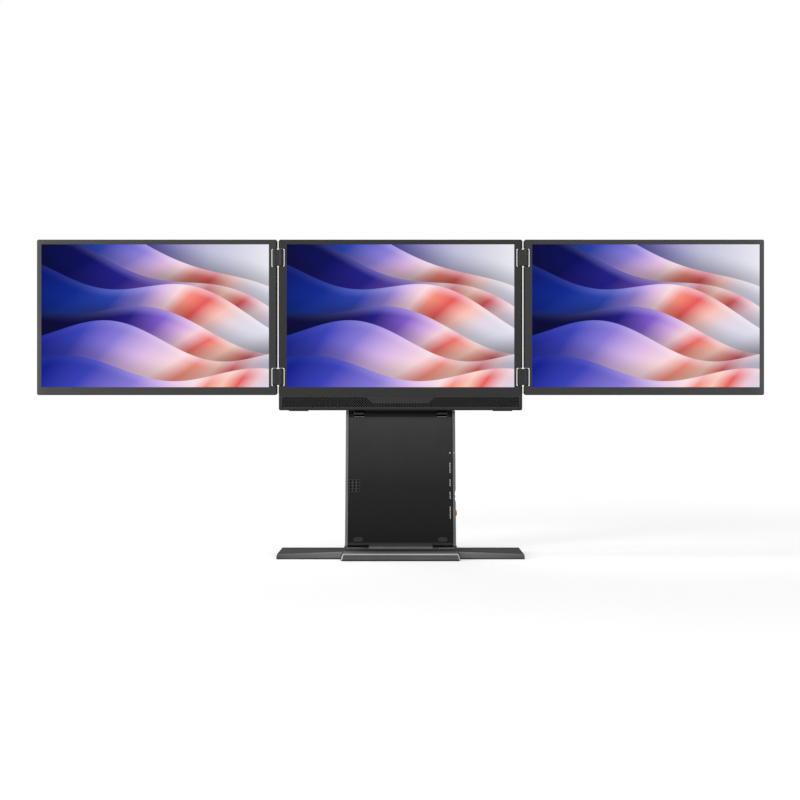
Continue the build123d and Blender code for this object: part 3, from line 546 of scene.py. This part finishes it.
# ---- Tones that vary over a piece -----------------------------------------------------------
def column_axes(g):
    """x, depth and rise of a surface point in the leaning column's own axes."""
    x, y, z = g.axes()
    y = g.math("SUBTRACT", y, HINGE_PLACE[1])
    z = g.math("SUBTRACT", z, HINGE_PLACE[2])
    lean_cos, lean_sin = math.cos(COLUMN_LEAN), math.sin(COLUMN_LEAN)
    depth = g.math("SUBTRACT", g.product(y, lean_cos), g.product(z, lean_sin))
    rise = g.math("ADD", g.product(y, lean_sin), g.product(z, lean_cos))
    return x, depth, rise


def column_inside(g):
    """1 between the rims, where the column is black."""
    x, depth, _ = column_axes(g)
    within = g.less(g.math("ABSOLUTE", x), COLUMN_INNER_HALF)
    return g.product(within, g.less(depth, COLUMN_REAR_DEPTH))


def column_tone(g):
    """Light metal with painted shade on the right rim and a painted reflection of the orange dial
    beside it; between the rims the head and foot of the column, with a painted shadow under the
    centre screen at the head and painted highlights along the foot and on the knuckle.
    """
    x, depth, rise = column_axes(g)
    # Painted shadow under the centre screen at the head
    barrel = g.ramp(g.spread(rise, *BARREL_SPAN), BARREL_SHADOW_TONES)
    # Painted highlight along the foot
    barrel = g.mix(g.less(rise, COLUMN_FOOT_RISE), barrel, COLUMN_FOOT_HIGHLIGHT)
    # Painted shade on the right rim
    right = g.product(g.math("GREATER_THAN", x, COLUMN_INNER_HALF),
                      g.less(depth, COLUMN_REAR_DEPTH))
    rim = g.mix(right, COLUMN_METAL, RIM_RIGHT_SHADED)
    # Painted reflection of the orange dial on the right rim
    dial_reflection = g.spread(g.distance(rise, DIAL_RISE), *DIAL_REFLECTION_FADE, to=FALL)
    rim = g.mix(g.product(dial_reflection, right), rim, RIM_DIAL_REFLECTION)
    shell = g.mix(column_inside(g), rim, barrel)
    knuckle = g.product(g.less(g.math("ABSOLUTE", x), KNUCKLE_HALF), g.less(rise, KNUCKLE_RISE))
    # Painted highlight on the knuckle's foot
    lower = g.ramp(g.spread(rise, KNUCKLE_FOOT, KNUCKLE_RISE), KNUCKLE_HIGHLIGHT_TONES)
    return g.mix(knuckle, shell, lower)


def panel_tone(g):
    """Black panel painted paler towards its head as painted light, with a painted shadow under the
    centre screen at its very head, a painted highlight along its lower edge, and a paler field
    round the vent.
    """
    x, _, rise = column_axes(g)
    # Painted light and shade along the panel
    body = g.ramp(g.spread(rise, 0.0, COLUMN_RISE), PANEL_LIGHT_AND_SHADE)
    field = g.product(g.less(g.distance(x, VENT_PLACE[0]), VENT_HALF[0]),
                      g.less(g.distance(rise, VENT_PLACE[1]), VENT_HALF[1]))
    return g.mix(field, body, VENT_FIELD)


def arm_tone(g):
    """Black hinge arm, near black on its front below the head as painted shade under the centre
    screen, with a paler band across its front.
    """
    rise = column_axes(g)[2]
    # Painted shade on the arm's front
    plate = g.mix(g.spread(rise, *ARM_FADE), ARM_FRONT_SHADED, ARM_HEAD)
    band = g.spread(g.distance(rise, ARM_BAND_RISE), *ARM_BAND_FADE, to=FALL, smooth=True)
    return g.mix(band, plate, ARM_BAND)


def bezel_tone(g):
    """Side casing's black front, painted paler towards its outer edge as painted light, with
    painted shade along the inner and lower edges.
    """
    x, _, z = g.axes()
    across = g.math("ABSOLUTE", x)
    # Painted light towards the outer edge
    front = g.ramp(g.spread(across, *BEZEL_SPAN), BEZEL_LIGHT_TONES)
    inner = g.spread(across, *BEZEL_INNER_FADE, to=FALL)
    lower = g.spread(z, *BEZEL_LOWER_FADE, to=FALL)
    # Painted shade along the inner and lower edges
    return g.mix(g.math("MAXIMUM", inner, lower), front, CASING_EDGE_SHADE)


def centre_tone(g):
    """Centre casing's black front, a shaded copy of the side casings' black, with painted shade
    where its sides and lower edge round off.
    """
    x, _, z = g.axes()
    side = g.spread(g.math("ABSOLUTE", x), *CENTRE_SIDE_FADE)
    lower = g.spread(z, *CENTRE_LOWER_FADE, to=FALL)
    # Painted shade where the sides and lower edge round off
    return g.mix(g.math("MAXIMUM", side, lower), CENTRE_BLACK_SHADED, CASING_EDGE_SHADE)


def mesh_tone(g):
    """Speaker mesh, with the bare badge a little darker than the web."""
    x, _, z = g.axes()
    drop = g.math("SUBTRACT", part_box("centre_speaker_grille")[1].z, z)
    slant = g.math("ADD", g.math("ABSOLUTE", x), drop)
    badge = g.product(g.less(slant, BADGE_HALF_TOP + MESH_STEP / 2),
                      g.less(drop, BADGE_DROP))
    return g.mix(badge, MESH_WEB, MESH_BADGE)


def lug_tone(g):
    """Hinge lugs: black above as painted shade under the column, and painted lighter towards the
    foot as painted light, as the base's lip is.
    """
    # Painted shade above, painted light towards the foot
    return g.ramp(g.spread(g.axes()[2], *LUG_SPAN), LUG_LIGHT_AND_SHADE)


def wing_tone(g, across, depth):
    """Top painted dark and the facet in front of the crease painted paler, as painted light from
    the front, with a painted highlight along the crease that runs out to the wing's tip; darker
    along the rear edge.
    """
    crease = g.spread(across, SPINE_HALF, WING_TIP_X, to=CREASE_Y)
    ahead = g.math("SUBTRACT", crease, depth)
    # Painted light and the crease's painted highlight
    facing = g.ramp(g.spread(ahead, *CREASE_SPAN), WING_LIGHT_TONES)
    facet = g.lit(facing, g.spread(across, SPINE_HALF, WING_TIP_X, to=FACET_LIGHT))
    creased = g.mix(g.spread(ahead, *CREASE_FADE), facing, facet)
    return g.mix(g.spread(depth, *WING_REAR_FADE), creased, WING_REAR)


def base_tone(g):
    """Creased wings with painted light; the spine, with painted shade in front of the rest strip
    and a pale lip of painted light before the hinge; and a dark foot edge with a painted highlight
    along its top.
    """
    x, depth, z = g.axes()
    across = g.math("ABSOLUTE", x)
    # Painted shade and painted light along the spine
    spine = g.ramp(g.spread(depth, *SPINE_SPAN), SPINE_LIGHT_AND_SHADE)
    top = g.mix(g.less(across, SPINE_HALF), wing_tone(g, across, depth), SPINE_SIDE)
    top = g.mix(g.less(across, SEAT_HALF), top, spine)
    # Dark foot edge with a painted highlight along its top
    edge = g.ramp(g.spread(z, 0.0, WING_EDGE_TOP), WING_EDGE_HIGHLIGHT_TONES)
    return g.mix(g.less(z, WING_EDGE_TOP + WING_EDGE_PLAY), top, edge)


def nose_tone(g):
    """Satin cover whose top is painted paler towards the front and darker towards the column as
    painted light and shade, with a painted highlight along the front chamfer and down its two
    sides.
    """
    _, depth, rise = g.axes()
    # Painted light and shade on the top
    top = g.ramp(g.spread(depth, NOSE_FRONT_Y, NOSE_REAR_Y), NOSE_TOP_LIGHT_TONES)
    face = g.ramp(g.spread(rise, 0.0, NOSE_FACE_TOP), NOSE_FACE_TONES)
    body = g.mix(g.less(depth, NOSE_FRONT_Y + NOSE_FACE_PLAY), top, face)
    sideways, _, upward = g.axes(g.node("TexCoord").outputs["Normal"])
    near = g.spread(depth, *NOSE_HIGHLIGHT_FADE)
    # Painted highlight on the chamfer and the flanks
    chamfer = g.product(g.spread(upward, *CHAMFER_SLOPE_LOW), g.spread(upward, *CHAMFER_SLOPE_HIGH))
    highlighted = g.mix(g.product(chamfer, near), body, NOSE_CHAMFER_HIGHLIGHT)
    flank = g.math("GREATER_THAN", g.math("ABSOLUTE", sideways), FLANK_SLOPE)
    return g.mix(g.product(flank, near), highlighted, NOSE_FLANK_HIGHLIGHT)


# ---- Displays -------------------------------------------------------------------------------
def wave_picture(g, across, up):
    """Soft layered waves under a pale sky: deep blue, lilac and coral."""
    picture = g.ramp(across, SKY)
    glow = g.ramp(across, GLOW_HUES)
    growth = g.spread(across, *GLOW_FADE, to=GLOW_GROWTH, smooth=True)
    bend = g.product(across, WAVE_BEND)
    ease = g.math("POWER", across, WAVE_EASE)
    for left_end, right_end, swell, phase, hues, shift in WAVES:
        crest = g.math("ADD", g.product(ease, right_end - left_end), left_end)
        roll = g.math("SINE", g.math("ADD", bend, phase))
        crest = g.math("ADD", crest, g.product(roll, swell))
        below = g.math("SUBTRACT", crest, up)
        cast = g.spread(below, -CAST_REACH, 0.0, to=(1.0, CAST_DARKEST), smooth=True)
        behind = g.lit(picture, cast)
        drift = g.math("ADD", across, g.product(below, HUE_DRIFT))
        band = g.ramp(g.math("ADD", drift, shift + HUE_START), hues)
        near = g.spread(below, 0.0, GLOW_WIDTH, to=(GLOW_LIGHT, 0.0), smooth=True)
        wave = g.mix(g.product(near, growth), band, glow, "SCREEN")
        picture = g.mix(g.spread(below, 0.0, CREST_EDGE), behind, wave)
    return picture


def display(name, node):
    """Lit panel behind matt glass; the waves run over its whole width."""
    lo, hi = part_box(node)
    g = new_graph(name)
    x, _, z = g.axes()
    across = g.spread(x, lo.x + DISPLAY_MARGIN, hi.x - DISPLAY_MARGIN)
    up = g.spread(z, lo.z + DISPLAY_MARGIN, hi.z - DISPLAY_MARGIN)
    haze = g.noise(scale=6000.0)
    return g.plain_shader(Base_Color=DISPLAY_GLASS, Specular_IOR_Level=0.02,
                          Roughness=g.spread(haze, *NOISE_SPAN, to=(0.30, 0.36)),
                          Emission_Color=wave_picture(g, across, up),
                          Emission_Strength=DISPLAY_LIGHT)


# ---- Dressing of the CAD nodes --------------------------------------------------------------
def slot_materials():
    """One material for each slot of the record, apart from the displays."""
    return {
        "casing_black": coated("casing_black", srgb(46, 46, 45), roughness=0.44, specular=0.3),
        "casing_metal": coated("casing_metal", srgb(50, 50, 52), roughness=0.42, metallic=0.4,
                               specular=0.35),
        "backlight": coated("backlight_white", srgb(214, 214, 212), roughness=0.6),
        "board": circuit_board("board_green"),
        "rubber": rubber("rubber_black", srgb(26, 26, 26)),
        "steel": turned_steel("steel_bare", srgb(178, 178, 182), roughness=0.3),
        "link_metal": coated("link_metal", srgb(28, 28, 27), roughness=0.40, specular=0.25),
        "column_metal": coated("column_metal", column_tone, roughness=0.45, specular=0.2,
                               dull=column_inside),
        "panel_black": coated("panel_black", panel_tone, roughness=0.6, specular=0.08,
                              grain=1900.0, depth=0.00004),
        "base_metal": coated("base_metal", base_tone, roughness=0.8, specular=0.05, wear_and_sheen_strength=0.4),
        "socket_metal": turned_steel("socket_metal", srgb(196, 196, 200), roughness=0.25),
        "light": milky_plastic("light_milky"),
        "toggle_black": coated("toggle_black", srgb(24, 24, 25), roughness=0.35),
        "dial_orange": coated("dial_orange", srgb(206, 128, 84), roughness=0.5, specular=0.3),
    }


def dress_nodes(materials):
    """Gives every CAD node its material; each display has its own picture."""
    own = {
        # Centre casing: a shaded copy of the side casings' black
        "centre_bezel": coated("centre_black_shaded", centre_tone, roughness=0.46, specular=0.22),
        "nose_cover": coated("nose_metal", nose_tone, roughness=0.7, specular=0.08, wear_and_sheen_strength=0.3),
        "centre_hinge_arms": coated("arm_black", arm_tone, roughness=0.7, specular=0.05),
        "hinge_lugs": coated("lug_black", lug_tone, roughness=0.7, specular=0.05),
        "left_bezel": coated("side_black_lit", bezel_tone, roughness=0.44, specular=0.3),
    }
    own["right_bezel"] = own["left_bezel"]
    for entry in frame["record"]["subparts"]:
        name = entry["node"]
        slot = entry["material_slot"]
        if slot == "display":
            material = display("picture_" + name, name)
        else:
            material = own.get(name, materials[slot])
        mesh = frame["nodes"][name].data
        mesh.materials.clear()
        mesh.materials.append(material)


# ---- Mesh helpers ---------------------------------------------------------------------------
def piece(name, mesh_data, material, body):
    """Links a finished bmesh as an object that rides on a body."""
    mesh = bpy.data.meshes.new(name)
    bmesh.ops.recalc_face_normals(mesh_data, faces=mesh_data.faces)
    mesh_data.to_mesh(mesh)
    mesh_data.free()
    mesh.materials.append(material)
    thing = bpy.data.objects.new(name, mesh)
    bpy.context.scene.collection.objects.link(thing)
    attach(thing, body)
    return thing


def thicken(mesh_data, offset):
    """Turns an open sheet into a closed plate, with its other face moved by an offset.

    It is done face by face, because Blender's own extrusion gives the faces in no fixed order.
    """
    faces = mesh_data.faces[:]
    borders = [edge.verts[:] for edge in mesh_data.edges if edge.is_boundary]
    moved = {vert: mesh_data.verts.new(vert.co + offset) for vert in mesh_data.verts[:]}
    for face in faces:
        mesh_data.faces.new([moved[vert] for vert in face.verts])
    for start, end in borders:
        mesh_data.faces.new((start, end, moved[end], moved[start]))


def join_rims(mesh_data, near, far):
    """Faces all round between two rims of as many points."""
    for index in range(len(near)):
        after = (index + 1) % len(near)
        mesh_data.faces.new((near[index], near[after], far[after], far[index]))


def closed_stack(mesh_data, outlines):
    """Solid through a row of outlines, closed at both ends."""
    rims = [[mesh_data.verts.new(spot) for spot in outline] for outline in outlines]
    for near, far in zip(rims, rims[1:]):
        join_rims(mesh_data, near, far)
    mesh_data.faces.new(rims[0])
    mesh_data.faces.new(rims[-1])


def circle(steps):
    """Cosine and sine of each step round a full turn."""
    turns = [2 * math.pi * step / steps for step in range(steps)]
    return [(math.cos(turn), math.sin(turn)) for turn in turns]


def ring(mesh_data, middle, radii, thickness, lying=True):
    """Adds a washer from a point upwards, or along x where it isn't lying flat."""
    inner, outer = radii
    rims = []
    for radius, height in ((inner, 0), (outer, 0), (outer, thickness), (inner, thickness)):
        spots = [(radius * i, radius * j) for i, j in circle(RING_STEPS)]
        rims.append([mesh_data.verts.new(middle + Vector((i, j, height) if lying else
                                                         (height, i, j))) for i, j in spots])
    for near, far in zip(rims, rims[1:] + rims[:1]):
        join_rims(mesh_data, near, far)


def round_ended(size, steps):
    """Outline of an upright strip with round ends, about its middle."""
    width, length = size
    radius = width / 2
    reach = length / 2 - radius
    outline = []
    for end, start in ((1, 0), (-1, math.pi)):
        for step in range(steps + 1):
            angle = math.pi * step / steps + start
            outline.append((radius * math.cos(angle), end * reach + radius * math.sin(angle)))
    return outline


def on_column(x, depth, rise):
    """World place of a point in the leaning column's own axes."""
    y = depth * math.cos(COLUMN_LEAN) + rise * math.sin(COLUMN_LEAN)
    z = rise * math.cos(COLUMN_LEAN) - depth * math.sin(COLUMN_LEAN)
    return Vector((HINGE_PLACE[0] + x, HINGE_PLACE[1] + y, HINGE_PLACE[2] + z))


# ---- Pieces ---------------------------------------------------------------------------------
def in_badge(column, row, columns, rows):
    """True for mesh cells under the bare trapezoid in the middle of the bar."""
    from_top = rows - row
    half_top = round(BADGE_HALF_TOP / MESH_STEP)
    return from_top < BADGE_ROWS and abs(column - columns / 2) + from_top <= half_top


def speaker_mesh(material):
    """Pierced strip: diamond holes on a staggered lattice, with solid rims and badge."""
    lo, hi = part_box("centre_speaker_grille")
    columns = 2 * round((hi.x - lo.x) / MESH_STEP / 2)
    rows = round((hi.z - lo.z) / MESH_STEP)
    step = Vector(((hi.x - lo.x) / columns, 0.0, (hi.z - lo.z) / rows))
    sheet = bmesh.new()
    known = {}

    def corner(column, row):
        if (column, row) not in known:
            place = (lo.x + column * step.x, lo.y, lo.z + row * step.z)
            known[column, row] = sheet.verts.new(place)
        return known[column, row]

    for row in range(rows + 1):
        for column in range(row % 2, columns + 1, 2):
            around = [(column - 1, row), (column, row + 1), (column + 1, row), (column, row - 1)]
            inside = [0 <= i <= columns and 0 <= j <= rows for i, j in around]
            if all(inside) and not in_badge(column, row, columns, rows):
                outer = [corner(i, j) for i, j in around]
                inner = [corner(column + MESH_OPEN * (i - column), row + MESH_OPEN * (j - row))
                         for i, j in around]
                join_rims(sheet, outer, inner)
            else:
                kept = [spot if ok else (column, row) for spot, ok in zip(around, inside)]
                sheet.faces.new([corner(i, j) for i, j in dict.fromkeys(kept)])
    thicken(sheet, Vector((0.0, hi.y - lo.y, 0.0)))
    mesh = piece("speaker_mesh", sheet, material, "centre_screen")
    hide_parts("centre_speaker_grille")


def speaker_cloth(material):
    """Black acoustic cloth against the back of the speaker mesh."""
    lo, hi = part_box("centre_speaker_grille")
    cloth = bmesh.new()
    corners = ((lo.x, lo.z), (hi.x, lo.z), (hi.x, hi.z), (lo.x, hi.z))
    closed_stack(cloth, [[(x, y, z) for x, z in corners]
                         for y in (hi.y, hi.y + CLOTH_THICKNESS)])
    piece("speaker_cloth", cloth, material, "centre_screen")


def edge_seals(material):
    """Thin rubber seals along the edges where the casings face each other; they narrow the gap,
    and their black stands in for the shade of the casings' rounded edges beside it.
    """
    lo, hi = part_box("left_links")
    middle = (lo.y + hi.y) / 2
    for side, sign in SIDES:
        for name, body, (edge, proud) in ((side + "_centre_seal", "centre_screen", CENTRE_SEAL),
                                          (side + "_side_seal", side + "_screen", SIDE_SEAL)):
            seal = bmesh.new()
            for run in SEAL_RUNS:
                closed_stack(seal, [[(sign * (edge + share * proud),
                                      middle + depth * SEAL_HALF_DEPTH, z)
                                     for share, depth in SEAL_PROFILE] for z in run])
            piece(name, seal, material, body)


def link_washers(material):
    """Nylon washers on the link pins, above and below each link."""
    for side, sign in SIDES:
        lo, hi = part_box(side + "_links")
        for body, end, pin_x in (("centre_screen", "centre", LINK_PIN_X[0]),
                                 (side + "_screen", "side", LINK_PIN_X[1])):
            rings = bmesh.new()
            for foot in (lo.z, hi.z - LINK_HEIGHT):
                head = foot + LINK_HEIGHT
                for base, thickness in ((foot - WASHER_PLAY - WASHER_BELOW, WASHER_BELOW),
                                        (head + WASHER_PLAY, WASHER_ABOVE)):
                    middle = Vector((sign * pin_x, (lo.y + hi.y) / 2, base))
                    ring(rings, middle, WASHER_RADII, thickness)
            piece(side + "_washers_" + end, rings, material, body)


def link_sleeves(material):
    """Short collars round both ends of each link."""
    for side, sign in SIDES:
        lo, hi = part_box(side + "_links")
        collars = bmesh.new()
        for foot in (lo.z, hi.z - LINK_HEIGHT):
            for pin_x in LINK_PIN_X:
                middle = Vector((sign * pin_x, (lo.y + hi.y) / 2, foot + SLEEVE_END))
                ring(collars, middle, SLEEVE_RADII, LINK_HEIGHT - 2 * SLEEVE_END)
        piece(side + "_sleeves", collars, material, side + "_link")


def tilt_washers(material):
    """Friction washers that close the slits between the hinge arms and the barrel."""
    inner_end, thickness, *radii = TILT_WASHER
    rings = bmesh.new()
    for start in (inner_end, -inner_end - thickness):
        ring(rings, Vector((start, *TILT_AXIS)), radii, thickness, lying=False)
    piece("tilt_washers", rings, material, "column")


def toggle_pip(material):
    """Fingertip pip of the menu toggle, before the column's rim."""
    pip = bmesh.new()
    x, rise = PIP_PLACE
    wide, high = PIP_SIZE[0] / 2, PIP_SIZE[1] / 2
    ends = ((PIP_TAPER, SHELL_DEPTH - PIP_PROUD), (1.0, SHELL_DEPTH))
    closed_stack(pip, [[on_column(x + share * wide * i, depth, rise + share * high * j)
                        for i, j in circle(PIP_STEPS)] for share, depth in ends])
    piece("toggle_pip", pip, material, "toggle")


def crowned_pads(material):
    """Two rubber rest pads with round ends and a crowned face, low on the column."""
    pads = bmesh.new()
    outline = [(up, -across) for across, up in round_ended(PAD_SIZE, PAD_STEPS)]
    for _, sign in SIDES:
        closed_stack(pads, [[on_column(sign * PAD_PLACE[0] + shrink * x,
                                       PANEL_DEPTH - height * PAD_HEIGHT,
                                       PAD_PLACE[1] + shrink * z) for x, z in outline]
                            for shrink, height in PAD_PROFILE])
    mesh = piece("crowned_pads", pads, material, "column")
    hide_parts("rest_pads")


def printed_marks(material):
    """Plain printed dashes beside the ports, and a dot beside the light."""
    strips = [(rise + (index - (count - 1) / 2) * MARK_STEP, MARK_SIZE)
              for rise, count in MARK_GROUPS for index in range(count)]
    strips.append((LIGHT_DOT_RISE, LIGHT_DOT_SIZE))
    marks = bmesh.new()
    for middle, size in strips:
        outline = round_ended(size, MARK_STEPS)
        closed_stack(marks, [[on_column(MARK_X + x, depth, middle + z) for x, z in outline]
                             for depth in (PANEL_DEPTH - MARK_PROUD, PANEL_DEPTH)])
    piece("printed_marks", marks, material, "column")


def painted_shadow_sheet(material):
    """Thin black sheet on the base's rear foot, under the column, that stands in for the shade
    there.
    """
    shadow_sheet_mesh = bmesh.new()
    outline = []
    for x, y, start in ((SHADOW_SHEET_HALF, SHADOW_SHEET_REAR_Y, 0.0), (-SHADOW_SHEET_HALF, SHADOW_SHEET_REAR_Y, 0.5),
                        (-SHADOW_SHEET_HALF, SHADOW_SHEET_FRONT_Y, 1.0), (SHADOW_SHEET_HALF, SHADOW_SHEET_FRONT_Y, 1.5)):
        inner_x = x - math.copysign(SHADOW_SHEET_CORNER, x)
        inner_y = y - SHADOW_SHEET_CORNER if y == SHADOW_SHEET_REAR_Y else y + SHADOW_SHEET_CORNER
        for step in range(SHADOW_SHEET_STEPS + 1):
            angle = math.pi * (start + step / SHADOW_SHEET_STEPS / 2)
            outline.append((inner_x + SHADOW_SHEET_CORNER * math.cos(angle),
                            inner_y + SHADOW_SHEET_CORNER * math.sin(angle)))
    closed_stack(shadow_sheet_mesh, [[(x, y, z) for x, y in outline] for z in (PLATE_TOP, SHADOW_SHEET_TOP)])
    piece("painted_shadow_sheet", shadow_sheet_mesh, material, "base")


def screw_head(mesh_data, middle, normal, up, size):
    """Adds a low round screw head with a lobed recess."""
    radius, height = size
    right = up.cross(normal)
    outlines = []
    for share, level in SCREW_PROFILE:
        outline = []
        for step in range(SCREW_STEPS):
            angle = 2 * math.pi * step / SCREW_STEPS
            lobe = LOBE_DEPTH * math.cos(SCREW_LOBES * angle) if share < SCREW_RECESS else 0.0
            out = radius * share * (1.0 + lobe)
            place = middle + right * (out * math.cos(angle)) + up * (out * math.sin(angle))
            outline.append(place + normal * (height * level))
        outlines.append(outline)
    closed_stack(mesh_data, outlines)


def rear_screws(material):
    """Screws on the backs of the casings, the hinge arms and the column."""
    back, up = Vector((0.0, 1.0, 0.0)), Vector((0.0, 0.0, 1.0))
    heads = bmesh.new()
    for _, sign in SIDES:
        for x, z in ARM_SCREW_PLACES:
            screw_head(heads, Vector((sign * x, ARM_BACK_Y, z)), back, up, ARM_SCREW)
        for x, z in CENTRE_SCREW_PLACES:
            screw_head(heads, Vector((sign * x, COVER_BACK_Y, z)), back, up, SMALL_SCREW)
    piece("centre_screws", heads, material, "centre_screen")
    for side, sign in SIDES:
        heads = bmesh.new()
        for x, z in SIDE_SCREW_PLACES:
            screw_head(heads, Vector((sign * x, COVER_BACK_Y, z)), back, up, SMALL_SCREW)
        piece(side + "_screws", heads, material, side + "_screen")
    heads = bmesh.new()
    back = on_column(0, 1, 0) - on_column(0, 0, 0)
    up = on_column(0, 0, 1) - on_column(0, 0, 0)
    for _, sign in SIDES:
        for x, rise in COLUMN_SCREW_PLACES:
            place = on_column(sign * x, COLUMN_BACK_DEPTH, rise)
            screw_head(heads, place, back, up, SMALL_SCREW)
    piece("column_screws", heads, material, "column")


def build_pieces():
    """The new pieces, each with its own material."""
    speaker_mesh(coated("mesh_black", mesh_tone, roughness=0.46, specular=0.2, wear_and_sheen_strength=0.0))
    speaker_cloth(flat_black("cloth_black", srgb(3, 3, 3)))
    # Black seals that narrow the gaps and stand in for the shade of the casings' rounded edges
    edge_seals(flat_black("seal_and_shade_black", srgb(6, 6, 6)))
    tilt_washers(flat_black("washer_black", srgb(6, 6, 6)))
    toggle_pip(flat_black("pip_black", srgb(6, 6, 6)))
    link_sleeves(coated("sleeve_black", srgb(26, 26, 25), roughness=0.40, specular=0.25))
    crowned_pads(rubber("pad_black", srgb(38, 38, 38)))
    # Black sheet that stands in for the shade under the column
    painted_shadow_sheet(flat_black("shadow_sheet_black", srgb(5, 5, 5)))
    rear_screws(coated("screw_black", srgb(30, 30, 31), roughness=0.3, metallic=0.8))
    link_washers(coated("nylon_black", srgb(24, 24, 24), roughness=0.6, specular=0.2))
    printed_marks(coated("print_grey", srgb(196, 196, 196), roughness=0.6, specular=0.1,
                         wear_and_sheen_strength=0.0))


# ---- Setting --------------------------------------------------------------------------------
def floor_material():
    """Pale matt floor that glows a little and fades to white away from the object."""
    g = new_graph("floor_pale")
    seen = g.sees_setting()
    soft = g.node("BsdfDiffuse", Color=g.mix(g.noise(scale=3.0, detail=3.0), *FLOOR_TONES))
    glow = g.node("Emission", Color=WHITE, Strength=g.product(seen, FLOOR_GLOW))
    near = g.node("AddShader")
    g.feed_in_order(near, (soft.outputs[0], glow.outputs[0]))
    reach = g.node("VectorMath", Vector=g.place())
    reach.operation = "LENGTH"
    away = g.spread(reach.outputs["Value"], *FLOOR_FADE, smooth=True)
    far = g.node("Emission", Color=WHITE, Strength=1.0)
    both = g.node("MixShader")
    g.feed_in_order(both, (g.product(away, seen), near.outputs[0], far.outputs[0]))
    return g.finish(both.outputs[0])


def pale_floor():
    """Plain floor that takes the object's shadow."""
    sheet = bmesh.new()
    bmesh.ops.create_grid(sheet, x_segments=FLOOR_CELLS, y_segments=FLOOR_CELLS,
                          size=FLOOR_HALF)
    mesh = bpy.data.meshes.new("floor")
    sheet.to_mesh(mesh)
    sheet.free()
    mesh.materials.append(floor_material())
    floor = bpy.data.objects.new("floor", mesh)
    bpy.context.scene.collection.objects.link(floor)


def white_world():
    """White background for the eye and for reflections; soft grey light on the object."""
    g = Graph(bpy.data.worlds.new("world"))
    strength = g.spread(g.sees_setting(), 0.0, 1.0, to=(WORLD_LIGHT, 1.0))
    background = g.node("Background", Color=WHITE, Strength=strength)
    bpy.context.scene.world = g.finish(background.outputs[0], "World")


def soft_lamps():
    """Round area lamps, all turned to the middle of the object."""
    for name, place, size, power in LAMPS:
        data = bpy.data.lights.new(name, "AREA")
        data.shape = "DISK"
        data.size = size
        data.energy = power
        lamp = bpy.data.objects.new(name, data)
        lamp.location = place
        aim = Vector(LAMP_AIM) - Vector(place)
        lamp.rotation_euler = aim.to_track_quat("-Z", "Y").to_euler()
        bpy.context.scene.collection.objects.link(lamp)


def level_camera():
    """Camera that looks straight at the front, as the photograph's does."""
    data = bpy.data.cameras.new("camera")
    data.sensor_width = SENSOR_WIDTH
    data.lens = CAMERA_LENS
    data.clip_end = CAMERA_REACH
    camera = bpy.data.objects.new("camera", data)
    camera.location = CAMERA_PLACE
    camera.rotation_euler = (math.radians(90.0), 0.0, 0.0)
    bpy.context.scene.collection.objects.link(camera)
    bpy.context.scene.camera = camera


bpy.context.scene.view_settings.view_transform = "Standard"
dress_nodes(slot_materials())
build_pieces()
pale_floor()
white_world()
soft_lamps()
level_camera()
